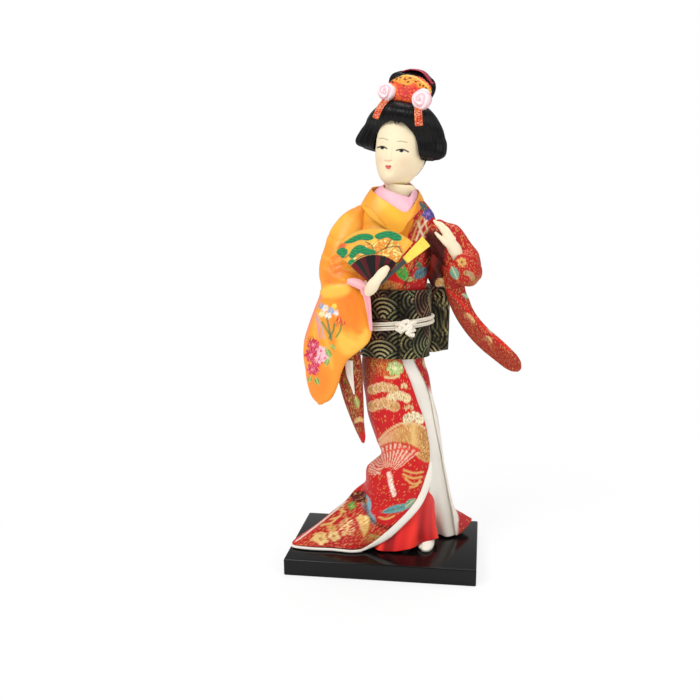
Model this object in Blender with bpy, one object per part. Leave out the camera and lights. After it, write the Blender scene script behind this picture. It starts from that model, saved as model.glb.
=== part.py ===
"""Dressed display doll on a lacquered board: wire armature, pressed body, moulded head, hands and feet,
wig with hair ornaments, layered brocade robes, sash with its bow and cord, and an open folding fan.
Lengths are in millimetres until a mesh is made; +X is the viewer's right and the doll faces -Y.
"""

import math

import bmesh
import bpy
import numpy as np

for old in list(bpy.data.objects):
    bpy.data.objects.remove(old, do_unlink=True)

MM = 0.001

# lacquered board
BOARD_WIDTH = 95.0
BOARD_DEPTH = 62.0
BOARD_HEIGHT = 8.65
BOARD_EDGE = 0.7

# fits and cloth
GAP = 0.3
LAYER_GAP = 0.5
WIRE_RADIUS = 0.8
WIRE_SEAT = 6.0
ROBE_CLOTH = 0.8
SKIRT_CLOTH = 0.7
LINING_CLOTH = 0.5
SASH_CLOTH = 1.5

# the figure's own heights, each from the top of the one below it; the first stands on the board
SKIRT_LENGTH = 98.15
SASH_HEIGHT = 33.2
CHEST_LENGTH = 40.5
NECK_LENGTH = 7.5

# sash cord and bow
CORD_RADIUS = 0.95
BOW_HALF_WIDTH = 22.5
BOW_HALF_HEIGHT = 17.5

# head
HEAD_CENTRE = (5.2, 3.0, 204.4)
HEAD_TURN = math.radians(-16.0)
HEAD_TILT = math.radians(10.0)

# folding fan
FAN_PIVOT = (-3.0, -21.0, 142.4)
FAN_LEAF_INNER = 15.0
FAN_LEAF_OUTER = 27.0
FAN_BOARD_REACH = 31.5
FAN_FIRST = math.radians(50.0)
FAN_LAST = math.radians(139.0)
FAN_RIBS = 8
FAN_LEAF = 0.4
FAN_STICK = 0.5
FAN_RIVET_RADIUS = 0.6

# the tables below hold heights as measured, with the board's top, the sash's two edges, the shoulders and the top
# of the neck at these levels; stand() takes every height from there to the named heights above
MEASURED = (0.0, 8.65, 106.8, 140.0, 180.5, 188.0)
LEVELS = (0.0, BOARD_HEIGHT, BOARD_HEIGHT + SKIRT_LENGTH, BOARD_HEIGHT + SKIRT_LENGTH + SASH_HEIGHT,
          BOARD_HEIGHT + SKIRT_LENGTH + SASH_HEIGHT + CHEST_LENGTH,
          BOARD_HEIGHT + SKIRT_LENGTH + SASH_HEIGHT + CHEST_LENGTH + NECK_LENGTH)
MEASURED_BOARD, SASH_BOTTOM, SASH_TOP = MEASURED[1:4]
GROUND = MEASURED_BOARD + GAP

# layers of cloth over the body, as distances out from the pressed body
BODICE_IN = GAP
BODICE_OUT = BODICE_IN + ROBE_CLOTH
ROBE_IN = BODICE_OUT + LAYER_GAP
ROBE_OUT = ROBE_IN + ROBE_CLOTH
SASH_IN = BODICE_OUT + LAYER_GAP
SASH_OUT = SASH_IN + SASH_CLOTH
CORD_CENTRE = SASH_OUT + GAP + CORD_RADIUS

COLOURS = {
    "lacquer": (0.01, 0.01, 0.012),
    "steel": (0.35, 0.35, 0.36),
    "skin": (0.9, 0.82, 0.62),
    "sock": (0.9, 0.86, 0.78),
    "foam": (0.7, 0.66, 0.55),
    "hair": (0.012, 0.011, 0.012),
    "red": (0.55, 0.02, 0.02),
    "scarlet": (0.8, 0.03, 0.03),
    "orange": (0.95, 0.4, 0.06),
    "pink": (0.95, 0.55, 0.65),
    "white": (0.88, 0.85, 0.8),
    "sash": (0.03, 0.028, 0.02),
    "gold": (0.85, 0.6, 0.15),
    "magenta": (0.6, 0.03, 0.12),
    "ribwood": (0.1, 0.01, 0.01),
    "brass": (0.7, 0.5, 0.2),
}


def stand(height):
    """Height of a measured level on this figure; above the neck, everything moves with the head."""
    return float(np.interp(height, MEASURED, LEVELS)) + max(height - MEASURED[-1], 0.0)


def between(points, t, closed=False):
    """Point at parameter t, one unit a point, on a smooth curve through the points."""
    count = len(points)
    last = count if closed else count - 1
    t = t % last if closed else min(max(t, 0.0), float(last))
    i = min(int(t), last - 1)
    f = t - i
    if closed:
        a, b, c, d = (points[(i + k) % count] for k in (-1, 0, 1, 2))
    else:
        a, b, c, d = (points[min(max(i + k, 0), count - 1)] for k in (-1, 0, 1, 2))
    return 0.5 * (2 * b + (c - a) * f + (2 * a - 5 * b + 4 * c - d) * f * f + (3 * b - a - 3 * c + d) * f ** 3)


def curve(points, count, closed=False):
    """Evenly stepped points on the smooth curve through the points."""
    points = np.asarray(points, float)
    last = len(points) if closed else len(points) - 1
    steps = count if closed else count - 1
    return np.array([between(points, last * k / steps, closed) for k in range(count)])


def raised(surface, u, v, grow):
    """Point of surface(u, v) moved out along its normal; u runs along, v runs round."""
    step = 0.02
    along = surface(u + step, v) - surface(u - step, v)
    around = surface(u, v + step) - surface(u, v - step)
    normal = np.cross(around, along)
    return surface(u, v) + normal * (grow / np.linalg.norm(normal))


def solid(name, points, faces, colour):
    """Closed body from points in millimetres, with its own material."""
    mesh = bpy.data.meshes.new(name)
    mesh.from_pydata([(x * MM, y * MM, stand(z) * MM) for x, y, z in points], [], faces)
    work = bmesh.new()
    work.from_mesh(mesh)
    bmesh.ops.remove_doubles(work, verts=work.verts, dist=0.005 * MM)
    bmesh.ops.recalc_face_normals(work, faces=work.faces)
    work.to_mesh(mesh)
    work.free()
    made = bpy.data.objects.new(name, mesh)
    bpy.context.scene.collection.objects.link(made)
    material = bpy.data.materials.new(name)
    material.use_nodes = True
    material.node_tree.nodes["Principled BSDF"].inputs["Base Color"].default_value = (*COLOURS[colour], 1.0)
    mesh.materials.append(material)
    return made


def loft(name, rings, colour):
    """Body through a run of closed rings, with a flat fan over each end."""
    rings = np.asarray(rings, float)
    rows, sides = rings.shape[:2]
    points = [*rings.reshape(-1, 3), rings[0].mean(axis=0), rings[-1].mean(axis=0)]
    faces = []
    for r in range(rows - 1):
        for s in range(sides):
            t = (s + 1) % sides
            faces.append((r * sides + s, r * sides + t, (r + 1) * sides + t, (r + 1) * sides + s))
    for s in range(sides):
        t = (s + 1) % sides
        faces.append((rows * sides, t, s))
        faces.append((rows * sides + 1, (rows - 1) * sides + s, (rows - 1) * sides + t))
    return solid(name, points, faces, colour)


def shell(name, outer, inner, colour, around=False):
    """Body between two grids of points; with around, the columns close on themselves."""
    outer, inner = np.asarray(outer, float), np.asarray(inner, float)
    rows, cols = outer.shape[:2]
    base = rows * cols
    points = [*outer.reshape(-1, 3), *inner.reshape(-1, 3)]
    faces = []
    for r in range(rows - 1):
        for c in range(cols if around else cols - 1):
            d = (c + 1) % cols
            quad = (r * cols + c, r * cols + d, (r + 1) * cols + d, (r + 1) * cols + c)
            faces.append(quad)
            faces.append(tuple(base + k for k in reversed(quad)))
    for c in range(cols if around else cols - 1):
        d = (c + 1) % cols
        faces.append((d, c, base + c, base + d))
        end = (rows - 1) * cols
        faces.append((end + c, end + d, base + end + d, base + end + c))
    if not around:
        for r in range(rows - 1):
            a, b = r * cols, (r + 1) * cols
            faces.append((a, b, base + b, base + a))
            a, b = r * cols + cols - 1, (r + 1) * cols + cols - 1
            faces.append((b, a, base + a, base + b))
    return solid(name, points, faces, colour)


def ellipse(centre, across, up, sides):
    """Ring of points round a centre with two half-axis vectors."""
    turns = [2 * math.pi * k / sides for k in range(sides)]
    centre, across, up = (np.asarray(v, float) for v in (centre, across, up))
    return [centre + across * math.cos(t) + up * math.sin(t) for t in turns]


def strip_rings(path, facings, widths, depths, sides=8, closed=False):
    """Rings along a path: widths lie across the path, depths along each facing direction."""
    path = np.asarray(path, float)
    rings = []
    for k, point in enumerate(path):
        if closed:
            heading = path[(k + 1) % len(path)] - path[k - 1]
        else:
            heading = path[min(k + 1, len(path) - 1)] - path[max(k - 1, 0)]
        heading = heading / np.linalg.norm(heading)
        facing = np.asarray(facings[k], float)
        facing = facing - heading * facing.dot(heading)
        facing = facing / np.linalg.norm(facing)
        rings.append(ellipse(point, np.cross(heading, facing) * widths[k], facing * depths[k], sides))
    return rings


def wire(name, path, radius, colour, sides=8):
    """Round rod along a path."""
    path = np.asarray(path, float)
    facing = [(0.31, 0.9, 0.2)] * len(path)
    return loft(name, strip_rings(path, facing, [radius] * len(path), [radius] * len(path), sides), colour)


def grown(made, gap):
    """Copy of a body with every point moved out by the gap."""
    copy = bpy.data.objects.new("cutter", made.data.copy())
    bpy.context.scene.collection.objects.link(copy)
    work = bmesh.new()
    work.from_mesh(copy.data)
    work.normal_update()
    moves = [v.normal * gap * MM for v in work.verts]
    for vert, move in zip(work.verts, moves):
        vert.co += move
    work.to_mesh(copy.data)
    work.free()
    return copy


def combine(made, other, operation):
    """Boolean of two bodies, keeping the largest closed body of the result."""
    modifier = made.modifiers.new("combine", "BOOLEAN")
    modifier.operation = operation
    modifier.solver = "EXACT"
    modifier.object = other
    graph = bpy.context.evaluated_depsgraph_get()
    mesh = bpy.data.meshes.new_from_object(made.evaluated_get(graph))
    made.modifiers.clear()
    work = bmesh.new()
    work.from_mesh(mesh)
    for reach in (0.02, 0.006, 0.001):
        trial = work.copy()
        bmesh.ops.remove_doubles(trial, verts=trial.verts, dist=reach * MM)
        bmesh.ops.dissolve_degenerate(trial, edges=trial.edges, dist=reach * 0.5 * MM)
        if all(len(e.link_faces) == 2 for e in trial.edges) or reach == 0.001:
            work.free()
            work = trial
            break
        trial.free()
    unseen = set(work.verts)
    islands = []
    while unseen:
        front = [unseen.pop()]
        island = list(front)
        while front:
            vert = front.pop()
            for edge in vert.link_edges:
                near = edge.other_vert(vert)
                if near in unseen:
                    unseen.remove(near)
                    front.append(near)
                    island.append(near)
        islands.append(island)
    largest = max(islands, key=len)
    bmesh.ops.delete(work, geom=[v for isle in islands if isle is not largest for v in isle], context="VERTS")
    bmesh.ops.recalc_face_normals(work, faces=work.faces)
    work.to_mesh(mesh)
    work.free()
    old = made.data
    made.data = mesh
    mesh.name = old.name
    bpy.data.meshes.remove(old)


def cut(made, *others, gap=GAP):
    """Take other bodies, with a clearance, out of a body."""
    for other in others:
        tool = grown(other, gap)
        combine(made, tool, "DIFFERENCE")
        bpy.data.objects.remove(tool, do_unlink=True)


def join(made, other):
    """Add another body to a body and drop the other."""
    combine(made, other, "UNION")
    bpy.data.objects.remove(other, do_unlink=True)


# pressed body: height, centre x, centre y, half width, half depth
BODY = np.array([
    (64, 11, 4, 11, 9), (75, 8.3, 4, 13, 10), (90, 5.3, 3.8, 13.8, 10.4), (105, 3.5, 3.4, 14.2, 10.3),
    (122, 4.1, 3.2, 13.8, 10.2), (140, 4.9, 3, 13.0, 10), (150, 5, 3, 14.6, 10.2), (160, 4.6, 3.2, 17.2, 10),
    (168, 4.4, 3.6, 18.2, 9.6), (174, 4.8, 3.9, 16.3, 9), (178, 5.2, 4.1, 13, 8.6), (180.5, 5.5, 4.2, 10.5, 8.2),
], float)


def body_row(height):
    """Row parameter of the body table at a height."""
    return float(np.interp(height, BODY[:, 0], np.arange(len(BODY))))


def body(row, turn):
    """Point of the pressed body: turn is in radians from the viewer's right, anticlockwise from above."""
    z, x, y, a, b = between(BODY, row)
    return np.array((x + a * math.cos(turn), y + b * math.sin(turn), z))


def body_grid(heights, turns, grow):
    """Grid of points over the body; turns may be one list or one list for each height."""
    rows = []
    for k, height in enumerate(heights):
        row_turns = turns[k] if np.ndim(turns) == 2 else turns
        rows.append([raised(body, body_row(height), t, grow) for t in row_turns])
    return rows


def body_blank(name, low, high, grow, count=24, sides=36):
    """Solid of the body grown by a distance, to cut neighbours with."""
    heights = np.linspace(low, high, count)
    turns = [2 * math.pi * k / sides for k in range(sides)]
    return loft(name, body_grid(heights, turns, grow), "foam")


ROUND = [2 * math.pi * k / 28 for k in range(28)]

# board with blind seats for the two leg wires
FEET = {"right": (9.0, -0.5), "left": (20.5, -2.0)}
edge = BOARD_EDGE
half_w, half_d = BOARD_WIDTH / 2, BOARD_DEPTH / 2
board_rings = []
for level, inset in ((0.0, edge), (edge, 0.0), (BOARD_HEIGHT - edge, 0.0), (BOARD_HEIGHT, edge)):
    w, d = half_w - inset, half_d - inset
    level *= MEASURED_BOARD / BOARD_HEIGHT
    board_rings.append([(-w, -d, level), (w, -d, level), (w, d, level), (-w, d, level)])
board = loft("board", board_rings, "lacquer")

# feet in white socks with a stub of leg, and the leg wires through them
feet = {}
leg_wires = {}
for side, (fx, fy) in FEET.items():
    rings = [
        ellipse((fx + 0.3, fy - 1.2, GROUND), (4.3, 0.4, 0), (-1.1, 11.0, 0), 20),
        ellipse((fx + 0.3, fy - 1.2, GROUND + 1.6), (4.7, 0.4, 0), (-1.1, 11.6, 0), 20),
        ellipse((fx, fy + 0.2, GROUND + 3.4), (4.1, 0.3, 0), (-0.9, 9.4, 0), 20),
        ellipse((fx - 0.5, fy + 3.2, GROUND + 6.0), (3.7, 0, 0), (-0.4, 5.6, 0), 20),
        ellipse((fx - 0.8, fy + 4.6, GROUND + 10.0), (3.3, 0, 0), (0, 3.9, 0), 20),
        ellipse((fx - 0.8, fy + 4.8, GROUND + 18.0), (3.4, 0, 0), (0, 3.6, 0), 20),
    ]
    feet[side] = loft("foot_" + side, rings, "sock")
    seat = MEASURED_BOARD - WIRE_SEAT
    path = [(fx - 0.8, fy + 4.8, seat + GAP), (fx - 0.8, fy + 4.8, GROUND + 22.0),
            (11.0 + (fx - 14.7) * 0.7, 4.0, 60.0), (9.0 + (fx - 14.7) * 0.7, 4.0, 78.0)]
    leg_wires[side] = wire("leg_wire_" + side, path, WIRE_RADIUS, "steel")
    cut(feet[side], leg_wires[side])
    cut(board, leg_wires[side])

# head with its neck: centre height, centre y, half width, front depth, back depth, front taper
HEAD = [
    (-15.2, 1.0, 6.3, 8.4, 7.2, 0.42), (-14.0, 1.0, 7.1, 9.9, 8.2, 0.40), (-11.5, 1.0, 8.4, 11.0, 9.4, 0.33),
    (-8.0, 1.0, 9.6, 11.4, 10.6, 0.25), (-4.0, 1.0, 10.5, 11.5, 11.4, 0.18), (0.0, 1.0, 10.9, 11.3, 12.0, 0.12),
    (4.0, 1.0, 11.0, 11.3, 12.3, 0.10), (8.0, 1.0, 10.6, 10.9, 12.2, 0.08), (12.0, 1.0, 9.4, 9.5, 11.2, 0.05),
    (15.0, 1.0, 7.6, 7.4, 9.2, 0.0), (17.0, 1.0, 5.0, 4.8, 6.4, 0.0), (18.0, 1.0, 2.0, 2.0, 2.8, 0.0),
]
tilt = np.array([[math.cos(HEAD_TILT), 0, math.sin(HEAD_TILT)], [0, 1, 0],
                 [-math.sin(HEAD_TILT), 0, math.cos(HEAD_TILT)]])
turn = np.array([[math.cos(HEAD_TURN), -math.sin(HEAD_TURN), 0], [math.sin(HEAD_TURN), math.cos(HEAD_TURN), 0],
                 [0, 0, 1]])
HEAD_FRAME = turn @ tilt


def on_head(points):
    """Points of the head's own frame placed in the figure."""
    return np.asarray(points, float) @ HEAD_FRAME.T + np.array(HEAD_CENTRE)


def head_ring(z, y, half, front, back, taper, sides=32):
    """Egg-shaped ring in the head's own frame."""
    ring = []
    for k in range(sides):
        t = 2 * math.pi * k / sides
        ahead = math.cos(t)
        depth = front if ahead > 0 else back
        ring.append((half * math.sin(t) * (1 - taper * max(ahead, 0.0)), y - depth * ahead, z))
    return ring


def neck_ring(x, y, z, a, b, sides=32):
    """Round ring of the neck, stepped like the rings of the head."""
    turns = [2 * math.pi * k / sides for k in range(sides)]
    return [(x + a * math.sin(t), y - b * math.cos(t), z) for t in turns]


neck = [neck_ring(6.2, 4.4, 174.5, 5.4, 5.2), neck_ring(6.2, 4.4, 183.0, 5.9, 5.6),
        neck_ring(5.9, 3.9, 188.0, 6.1, 6.0)]
head = loft("head", [*neck, *(on_head(head_ring(*row)) for row in HEAD)], "skin")


def head_loft(name, rings, colour):
    """Body through rings given in the head's own frame."""
    return loft(name, [on_head(ring) for ring in rings], colour)


def head_oval(z, left, right, front, back, sides=26):
    """Oval ring in the head's frame between four sides."""
    x, a = (left + right) / 2, (right - left) / 2
    y, b = (front + back) / 2, (back - front) / 2
    return ellipse((x, y, z), (a, 0, 0), (0, b, 0), sides)


wig = head_loft("wig", [
    head_oval(-1.6, -18.5, 17.5, -3.5, 7.5), head_oval(-0.8, -21.5, 20.0, -5.0, 9.0),
    head_oval(1.5, -22.8, 22.0, -5.8, 11.0), head_oval(6.0, -21.4, 21.3, -6.4, 13.5),
    head_oval(9.0, -20.2, 19.8, -8.0, 14.4), head_oval(12.0, -18.6, 18.6, -10.4, 14.6),
    head_oval(15.0, -16.4, 16.6, -11.4, 13.8), head_oval(18.0, -13.2, 13.8, -10.8, 11.8),
    head_oval(20.6, -9.6, 10.0, -8.2, 9.0), head_oval(22.4, -5.0, 5.6, -4.2, 6.0)], "hair")
join(wig, head_loft("nape", [
    head_oval(-12.0, -5.5, 6.0, 9.0, 13.4), head_oval(-10.6, -9.0, 9.6, 5.4, 16.0),
    head_oval(-6.5, -11.6, 12.6, 3.6, 17.6), head_oval(-1.5, -12.4, 13.2, 3.0, 17.4),
    head_oval(3.0, -11.0, 11.6, 3.4, 16.6), head_oval(7.0, -8.0, 8.4, 4.0, 15.4)], "hair"))
cut(wig, head)

topknot = head_loft("topknot", [
    head_oval(22.0, -6.0, 6.0, 0.0, 10.0), head_oval(25.0, -9.4, 9.0, -1.6, 11.0),
    head_oval(29.0, -11.2, 10.4, -2.0, 11.6), head_oval(32.5, -9.8, 9.6, -1.2, 10.6),
    head_oval(34.4, -6.8, 6.4, 0.8, 8.4), head_oval(35.4, -3.6, 3.0, 2.4, 6.6)], "hair")
cut(topknot, wig)


def head_band(name, path, facing, width, depth, colour, sides=8):
    """Flat band along a path in the head's own frame."""
    path = curve(path, 12)
    return head_loft(name, strip_rings(path, [facing] * 12, [width] * 12, [depth] * 12, sides), colour)


knot_ribbon = head_band("knot_ribbon", [(-5.6, 3.4, 34.6), (-1.0, 3.6, 35.9), (4.4, 3.6, 35.4), (9.4, 4.0, 31.6)],
                        (0.0, 0.0, 1.0), 2.6, 0.6, "magenta")
cut(topknot, knot_ribbon)

hair_cloth = head_loft("hair_cloth", [
    head_oval(21.5, -8.0, 8.0, -6.2, 2.0), head_oval(24.0, -10.4, 10.4, -6.6, 1.6),
    head_oval(27.0, -10.8, 10.6, -5.6, 1.0), head_oval(30.0, -9.0, 8.8, -4.4, 0.6),
    head_oval(32.4, -5.4, 5.0, -2.8, 0.2)], "gold")
cut(hair_cloth, wig, topknot, knot_ribbon)


def rose(name, centre, radius):
    """Wound fabric rose as a flattened ball with a rolled rim."""
    x, y, z = centre
    outline = [(0.35, -0.72), (0.72, -0.62), (0.98, -0.2), (0.92, 0.25), (0.55, 0.5)]
    rings = [ellipse((x, y + radius * deep, z), (radius * wide, 0, 0), (0, 0, radius * wide), 20)
             for wide, deep in outline]
    return head_loft(name, rings, "pink")


rose_right = rose("rose_right", (-8.2, -6.4, 24.6), 4.1)
rose_left = rose("rose_left", (9.8, -6.6, 23.4), 4.6)
cut(hair_cloth, rose_right, rose_left)
cut(wig, rose_right, rose_left)
ribbon_right = head_band("hair_ribbon_right", [(-8.8, -6.4, 21.0), (-10.2, -9.0, 17.0), (-11.2, -10.4, 12.4)],
                         (-0.2, -1.0, 0.3), 1.7, 0.35, "scarlet")
ribbon_left = head_band("hair_ribbon_left", [(6.6, -7.4, 20.6), (8.2, -10.6, 17.0), (9.8, -11.4, 12.2)],
                        (0.2, -1.0, 0.3), 2.0, 0.35, "scarlet")
cut(ribbon_right, rose_right)
cut(ribbon_left, rose_left)
cut(wig, ribbon_right, ribbon_left)

# pressed body and arm wires
core_heights = np.linspace(64.0, 180.0, 15)
core_grow = np.interp(core_heights, (112.0, 120.0), (-SKIRT_CLOTH - LINING_CLOTH, 0.0))
core = loft("body_core", [[raised(body, body_row(h), t, g) for t in ROUND[::2]]
                          for h, g in zip(core_heights, core_grow)], "foam")
arm_wires = {
    "right": wire("arm_wire_right", curve([(-6, 3, 166), (-17, 2, 161), (-22.5, -2, 149), (-16, -10, 142.5),
                                           (-7, -16.5, 141.5), (-4, -18.5, 143.5)], 11), WIRE_RADIUS, "steel"),
    "left": wire("arm_wire_left", curve([(12, 3, 166), (24, 3, 161), (35, 0, 153), (37, -3.5, 152),
                                         (34.5, -7, 156), (32, -9, 160)], 11), WIRE_RADIUS, "steel"),
}
cut(core, head, *leg_wires.values(), *arm_wires.values())

# hands: the right one holds the fan between thumb and fingers
fan_back = FAN_PIVOT[1] + FAN_LEAF + FAN_STICK
fan_front = FAN_PIVOT[1] - FAN_LEAF - FAN_STICK
thumb = curve([(-7.2, -15.6, 140.6), (-4.6, -19.0, 142.6), (-2.6, fan_front - 1.8, 146.6),
               (2.6, fan_front - 1.6, 151.9)], 12)
hand_right = loft("hand_right", strip_rings(thumb, [(0, -1, 0.2)] * 12, np.linspace(3.2, 1.5, 12),
                                            np.linspace(2.4, 1.0, 12), 12), "skin")
fingers = curve([(-7.2, -15.0, 140.4), (-3.6, -17.4, 141.8), (0.6, fan_back + 1.9, 143.6),
                 (5.4, fan_back + 1.7, 145.6)], 10)
join(hand_right, loft("fingers", strip_rings(fingers, [(0, -1, 0.2)] * 10, np.linspace(3.0, 1.9, 10),
                                             np.linspace(2.2, 1.1, 10), 12), "skin"))
cut(hand_right, arm_wires["right"])
palm = curve([(34.6, -6.6, 155.4), (33.0, -8.8, 159.6), (30.2, -10.8, 164.4), (27.0, -11.8, 168.2),
              (24.0, -12.2, 171.4)], 12)
hand_left = loft("hand_left", strip_rings(palm, [(0, -1, 0.3)] * 12,
                                          [3.6, 3.4, 3.2, 3.0, 2.9, 2.8, 2.7, 2.4, 2.1, 1.8, 1.5, 1.1],
                                          np.linspace(2.8, 1.0, 12), 12), "skin")
thumb_left = curve([(31.6, -10.2, 161.6), (28.0, -12.4, 163.8), (24.2, -12.8, 166.8)], 8)
join(hand_left, loft("thumb", strip_rings(thumb_left, [(0, -1, 0.3)] * 8, np.linspace(1.8, 0.9, 8),
                                          np.linspace(1.6, 0.8, 8), 10), "skin"))
cut(hand_left, arm_wires["left"])

# folding fan: leaf, ribs in one stamped piece, a stick at each end and a rivet


def fan_point(radius, angle, y):
    """Point of the fan's plane at a radius and angle from the pivot."""
    x0, _, z0 = FAN_PIVOT
    return (x0 + radius * math.cos(angle), y, z0 + radius * math.sin(angle))


def fan_plate(name, outline, back, front, colour):
    """Flat plate with an outline in the fan's plane."""
    count = len(outline)
    points = [fan_point(r, a, back) for r, a in outline] + [fan_point(r, a, front) for r, a in outline]
    faces = [tuple(range(count)), tuple(reversed(range(count, 2 * count)))]
    faces += [(k, (k + 1) % count, count + (k + 1) % count, count + k) for k in range(count)]
    return solid(name, points, faces, colour)


leaf_y = FAN_PIVOT[1]
leaf_angles = np.linspace(FAN_FIRST, FAN_LAST, 25)
pleat = [0.25 if k % 2 else -0.25 for k in range(25)]
leaf_reach = np.interp(leaf_angles, (math.radians(118), FAN_LAST), (FAN_LEAF_OUTER, FAN_LEAF_OUTER - 2.2))
leaf_rows = [[fan_point(FAN_LEAF_INNER + (reach - FAN_LEAF_INNER) * share, a, leaf_y + p)
              for a, p, reach in zip(leaf_angles, pleat, leaf_reach)] for share in (0.0, 0.5, 1.0)]
leaf_depth = np.array([0.0, FAN_LEAF / 2, 0.0])
fan_leaf = shell("fan_leaf", np.array(leaf_rows) - leaf_depth, np.array(leaf_rows) + leaf_depth, "gold")
rib_outline = []
for k in range(FAN_RIBS):
    middle = FAN_FIRST + (FAN_LAST - FAN_FIRST) * (k + 0.5) / FAN_RIBS
    spread = (FAN_LAST - FAN_FIRST) / FAN_RIBS
    rib_outline += [(6.0, middle - spread * 0.5), (7.2, middle - spread * 0.34),
                    (FAN_LEAF_INNER - GAP, middle - spread * 0.3), (FAN_LEAF_INNER - GAP, middle + spread * 0.3),
                    (7.2, middle + spread * 0.34)]
rib_outline += [(6.0, FAN_LAST), (2.0, FAN_LAST + 0.5), (2.0, FAN_LAST + 1.5), (2.0, FAN_LAST + 2.6),
                (2.0, FAN_FIRST - 0.5)]
fan_ribs = fan_plate("fan_ribs", rib_outline, leaf_y + FAN_STICK / 2, leaf_y - FAN_STICK / 2, "ribwood")


def stick(name, angle, back, front, reach, colour):
    """Tapered end stick of the fan from behind the pivot to its reach."""
    outline = [(2.0, angle + math.pi - 0.5), (2.0, angle + math.pi + 0.5), (1.6, angle - 1.3),
               (reach, angle - 1.5 / reach), (reach, angle + 1.5 / reach), (1.6, angle + 1.3)]
    return fan_plate(name, outline, back, front, colour)


stick_gap = 0.25 + FAN_LEAF / 2 + GAP / 2
board_angle = FAN_FIRST - math.radians(7.5)
board_half = [(1.6, 2.1), (FAN_LEAF_INNER + 3.0, 1.1), (FAN_LEAF_INNER + 4.5, 1.6), (FAN_BOARD_REACH, 2.9)]
guard_front = fan_plate("fan_guard_front", [
    (2.0, board_angle + math.pi - 0.5), (2.0, board_angle + math.pi + 0.5),
    *((r, board_angle - half / r) for r, half in board_half),
    *((r, board_angle + half / r) for r, half in reversed(board_half))],
    leaf_y - stick_gap, leaf_y - stick_gap - FAN_STICK, "ribwood")
guard_back = stick("fan_guard_back", FAN_LAST - math.radians(3), leaf_y + stick_gap + FAN_STICK,
                   leaf_y + stick_gap, FAN_LEAF_OUTER - 2.2, "ribwood")
fan_rivet = loft("fan_rivet", [ellipse(fan_point(0, 0, y), (r, 0, 0), (0, 0, r), 16) for y, r in (
    (leaf_y - stick_gap - FAN_STICK - GAP - 0.3, FAN_RIVET_RADIUS + 0.4),
    (leaf_y - stick_gap - FAN_STICK - GAP, FAN_RIVET_RADIUS + 0.4),
    (leaf_y - stick_gap - FAN_STICK - GAP, FAN_RIVET_RADIUS),
    (leaf_y + stick_gap + FAN_STICK + GAP, FAN_RIVET_RADIUS),
    (leaf_y + stick_gap + FAN_STICK + GAP, FAN_RIVET_RADIUS + 0.4),
    (leaf_y + stick_gap + FAN_STICK + GAP + 0.3, FAN_RIVET_RADIUS + 0.4))], "brass")
cut(hand_right, fan_ribs, guard_front, guard_back, fan_rivet, fan_leaf)
for plate in (fan_ribs, guard_front, guard_back):
    cut(plate, fan_rivet, gap=GAP / 2)

# bodice, over-robe on the right shoulder and the two collars
bodice_heights = np.linspace(113.0, 180.0, 15)
bodice = shell("bodice", body_grid(bodice_heights, ROUND, BODICE_OUT), body_grid(bodice_heights, ROUND, BODICE_IN),
               "red", around=True)
cut(bodice, *arm_wires.values())

robe_heights = np.linspace(141.5, 179.5, 11)
robe_edge = np.interp(robe_heights, [141.5, 150, 158, 166, 170, 180], [205, 230, 255, 275, 283, 283])
robe_turns = np.array([np.radians(np.linspace(92.0, last, 17)) for last in robe_edge])
robe = shell("over_robe", body_grid(robe_heights, robe_turns, ROBE_OUT), body_grid(robe_heights, robe_turns, ROBE_IN),
             "orange")
cut(robe, arm_wires["right"])


def collar(name, inner, outer, colour, count=40):
    """Band of cloth round the neck between an upper and a lower edge."""
    top, bottom = curve(inner, count, True), curve(outer, count, True)
    rows = np.array([top, 0.5 * (top + bottom), bottom])
    normals = []
    for c in range(count):
        around = top[(c + 1) % count] - top[c - 1]
        down = bottom[c] - top[c]
        normal = np.cross(around, down)
        normals.append(normal / np.linalg.norm(normal))
    normals = np.array(normals)
    if np.dot(normals[0], (0, -1, 0)) < 0:
        normals = -normals
    return shell(name, rows + normals * 0.3, rows - normals * 0.3, colour, around=True)


inner_collar = collar("inner_collar", [
    (9.5, -4.6, 183.3), (3.5, -4.6, 185.2), (-1.4, -1.4, 187.3), (-2.0, 4.5, 189), (1.2, 10.4, 190),
    (6, 12.2, 190.5), (10.2, 10.2, 189.4), (12.2, 4.5, 187.2), (12.0, -1.6, 184.9), (10.8, -4.0, 183.2)], [
    (8.4, -8.9, 176.0), (1.5, -8.2, 180.5), (-4.7, -4.2, 184.2), (-6.2, 4.5, 186), (-1.7, 12.8, 187),
    (6, 15.2, 187.5), (12.4, 12.6, 186), (13.8, 4.9, 183.6), (13.2, -4.0, 180.4), (11.4, -7.8, 177.2)], "pink")
outer_collar = collar("outer_collar", [
    (8.2, -10.2, 176.6), (1.0, -9.6, 180.9), (-5.2, -6.0, 184.8), (-8.0, 4.0, 187.4), (-3.2, 13.8, 188.2),
    (6, 17.2, 188.4), (13.4, 13.6, 186.4), (14.4, 5.3, 183.9), (13.8, -5.0, 180.4), (11.0, -9.3, 176.8)], [
    (6.2, -10.8, 166.6), (-4.8, -10.6, 172.5), (-11.4, -5.5, 178.4), (-12.4, 5, 179.8), (-6, 15.8, 180.6),
    (6, 18.0, 181.5), (15.6, 15.2, 180.6), (17.0, 5.9, 179.4), (15.2, -6.4, 176.2), (11.0, -10.8, 171.8)], "orange")
blank = body_blank("blank", 150.0, 180.5, ROBE_OUT)
cut(outer_collar, inner_collar, blank)
cut(inner_collar, blank, head)

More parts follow.
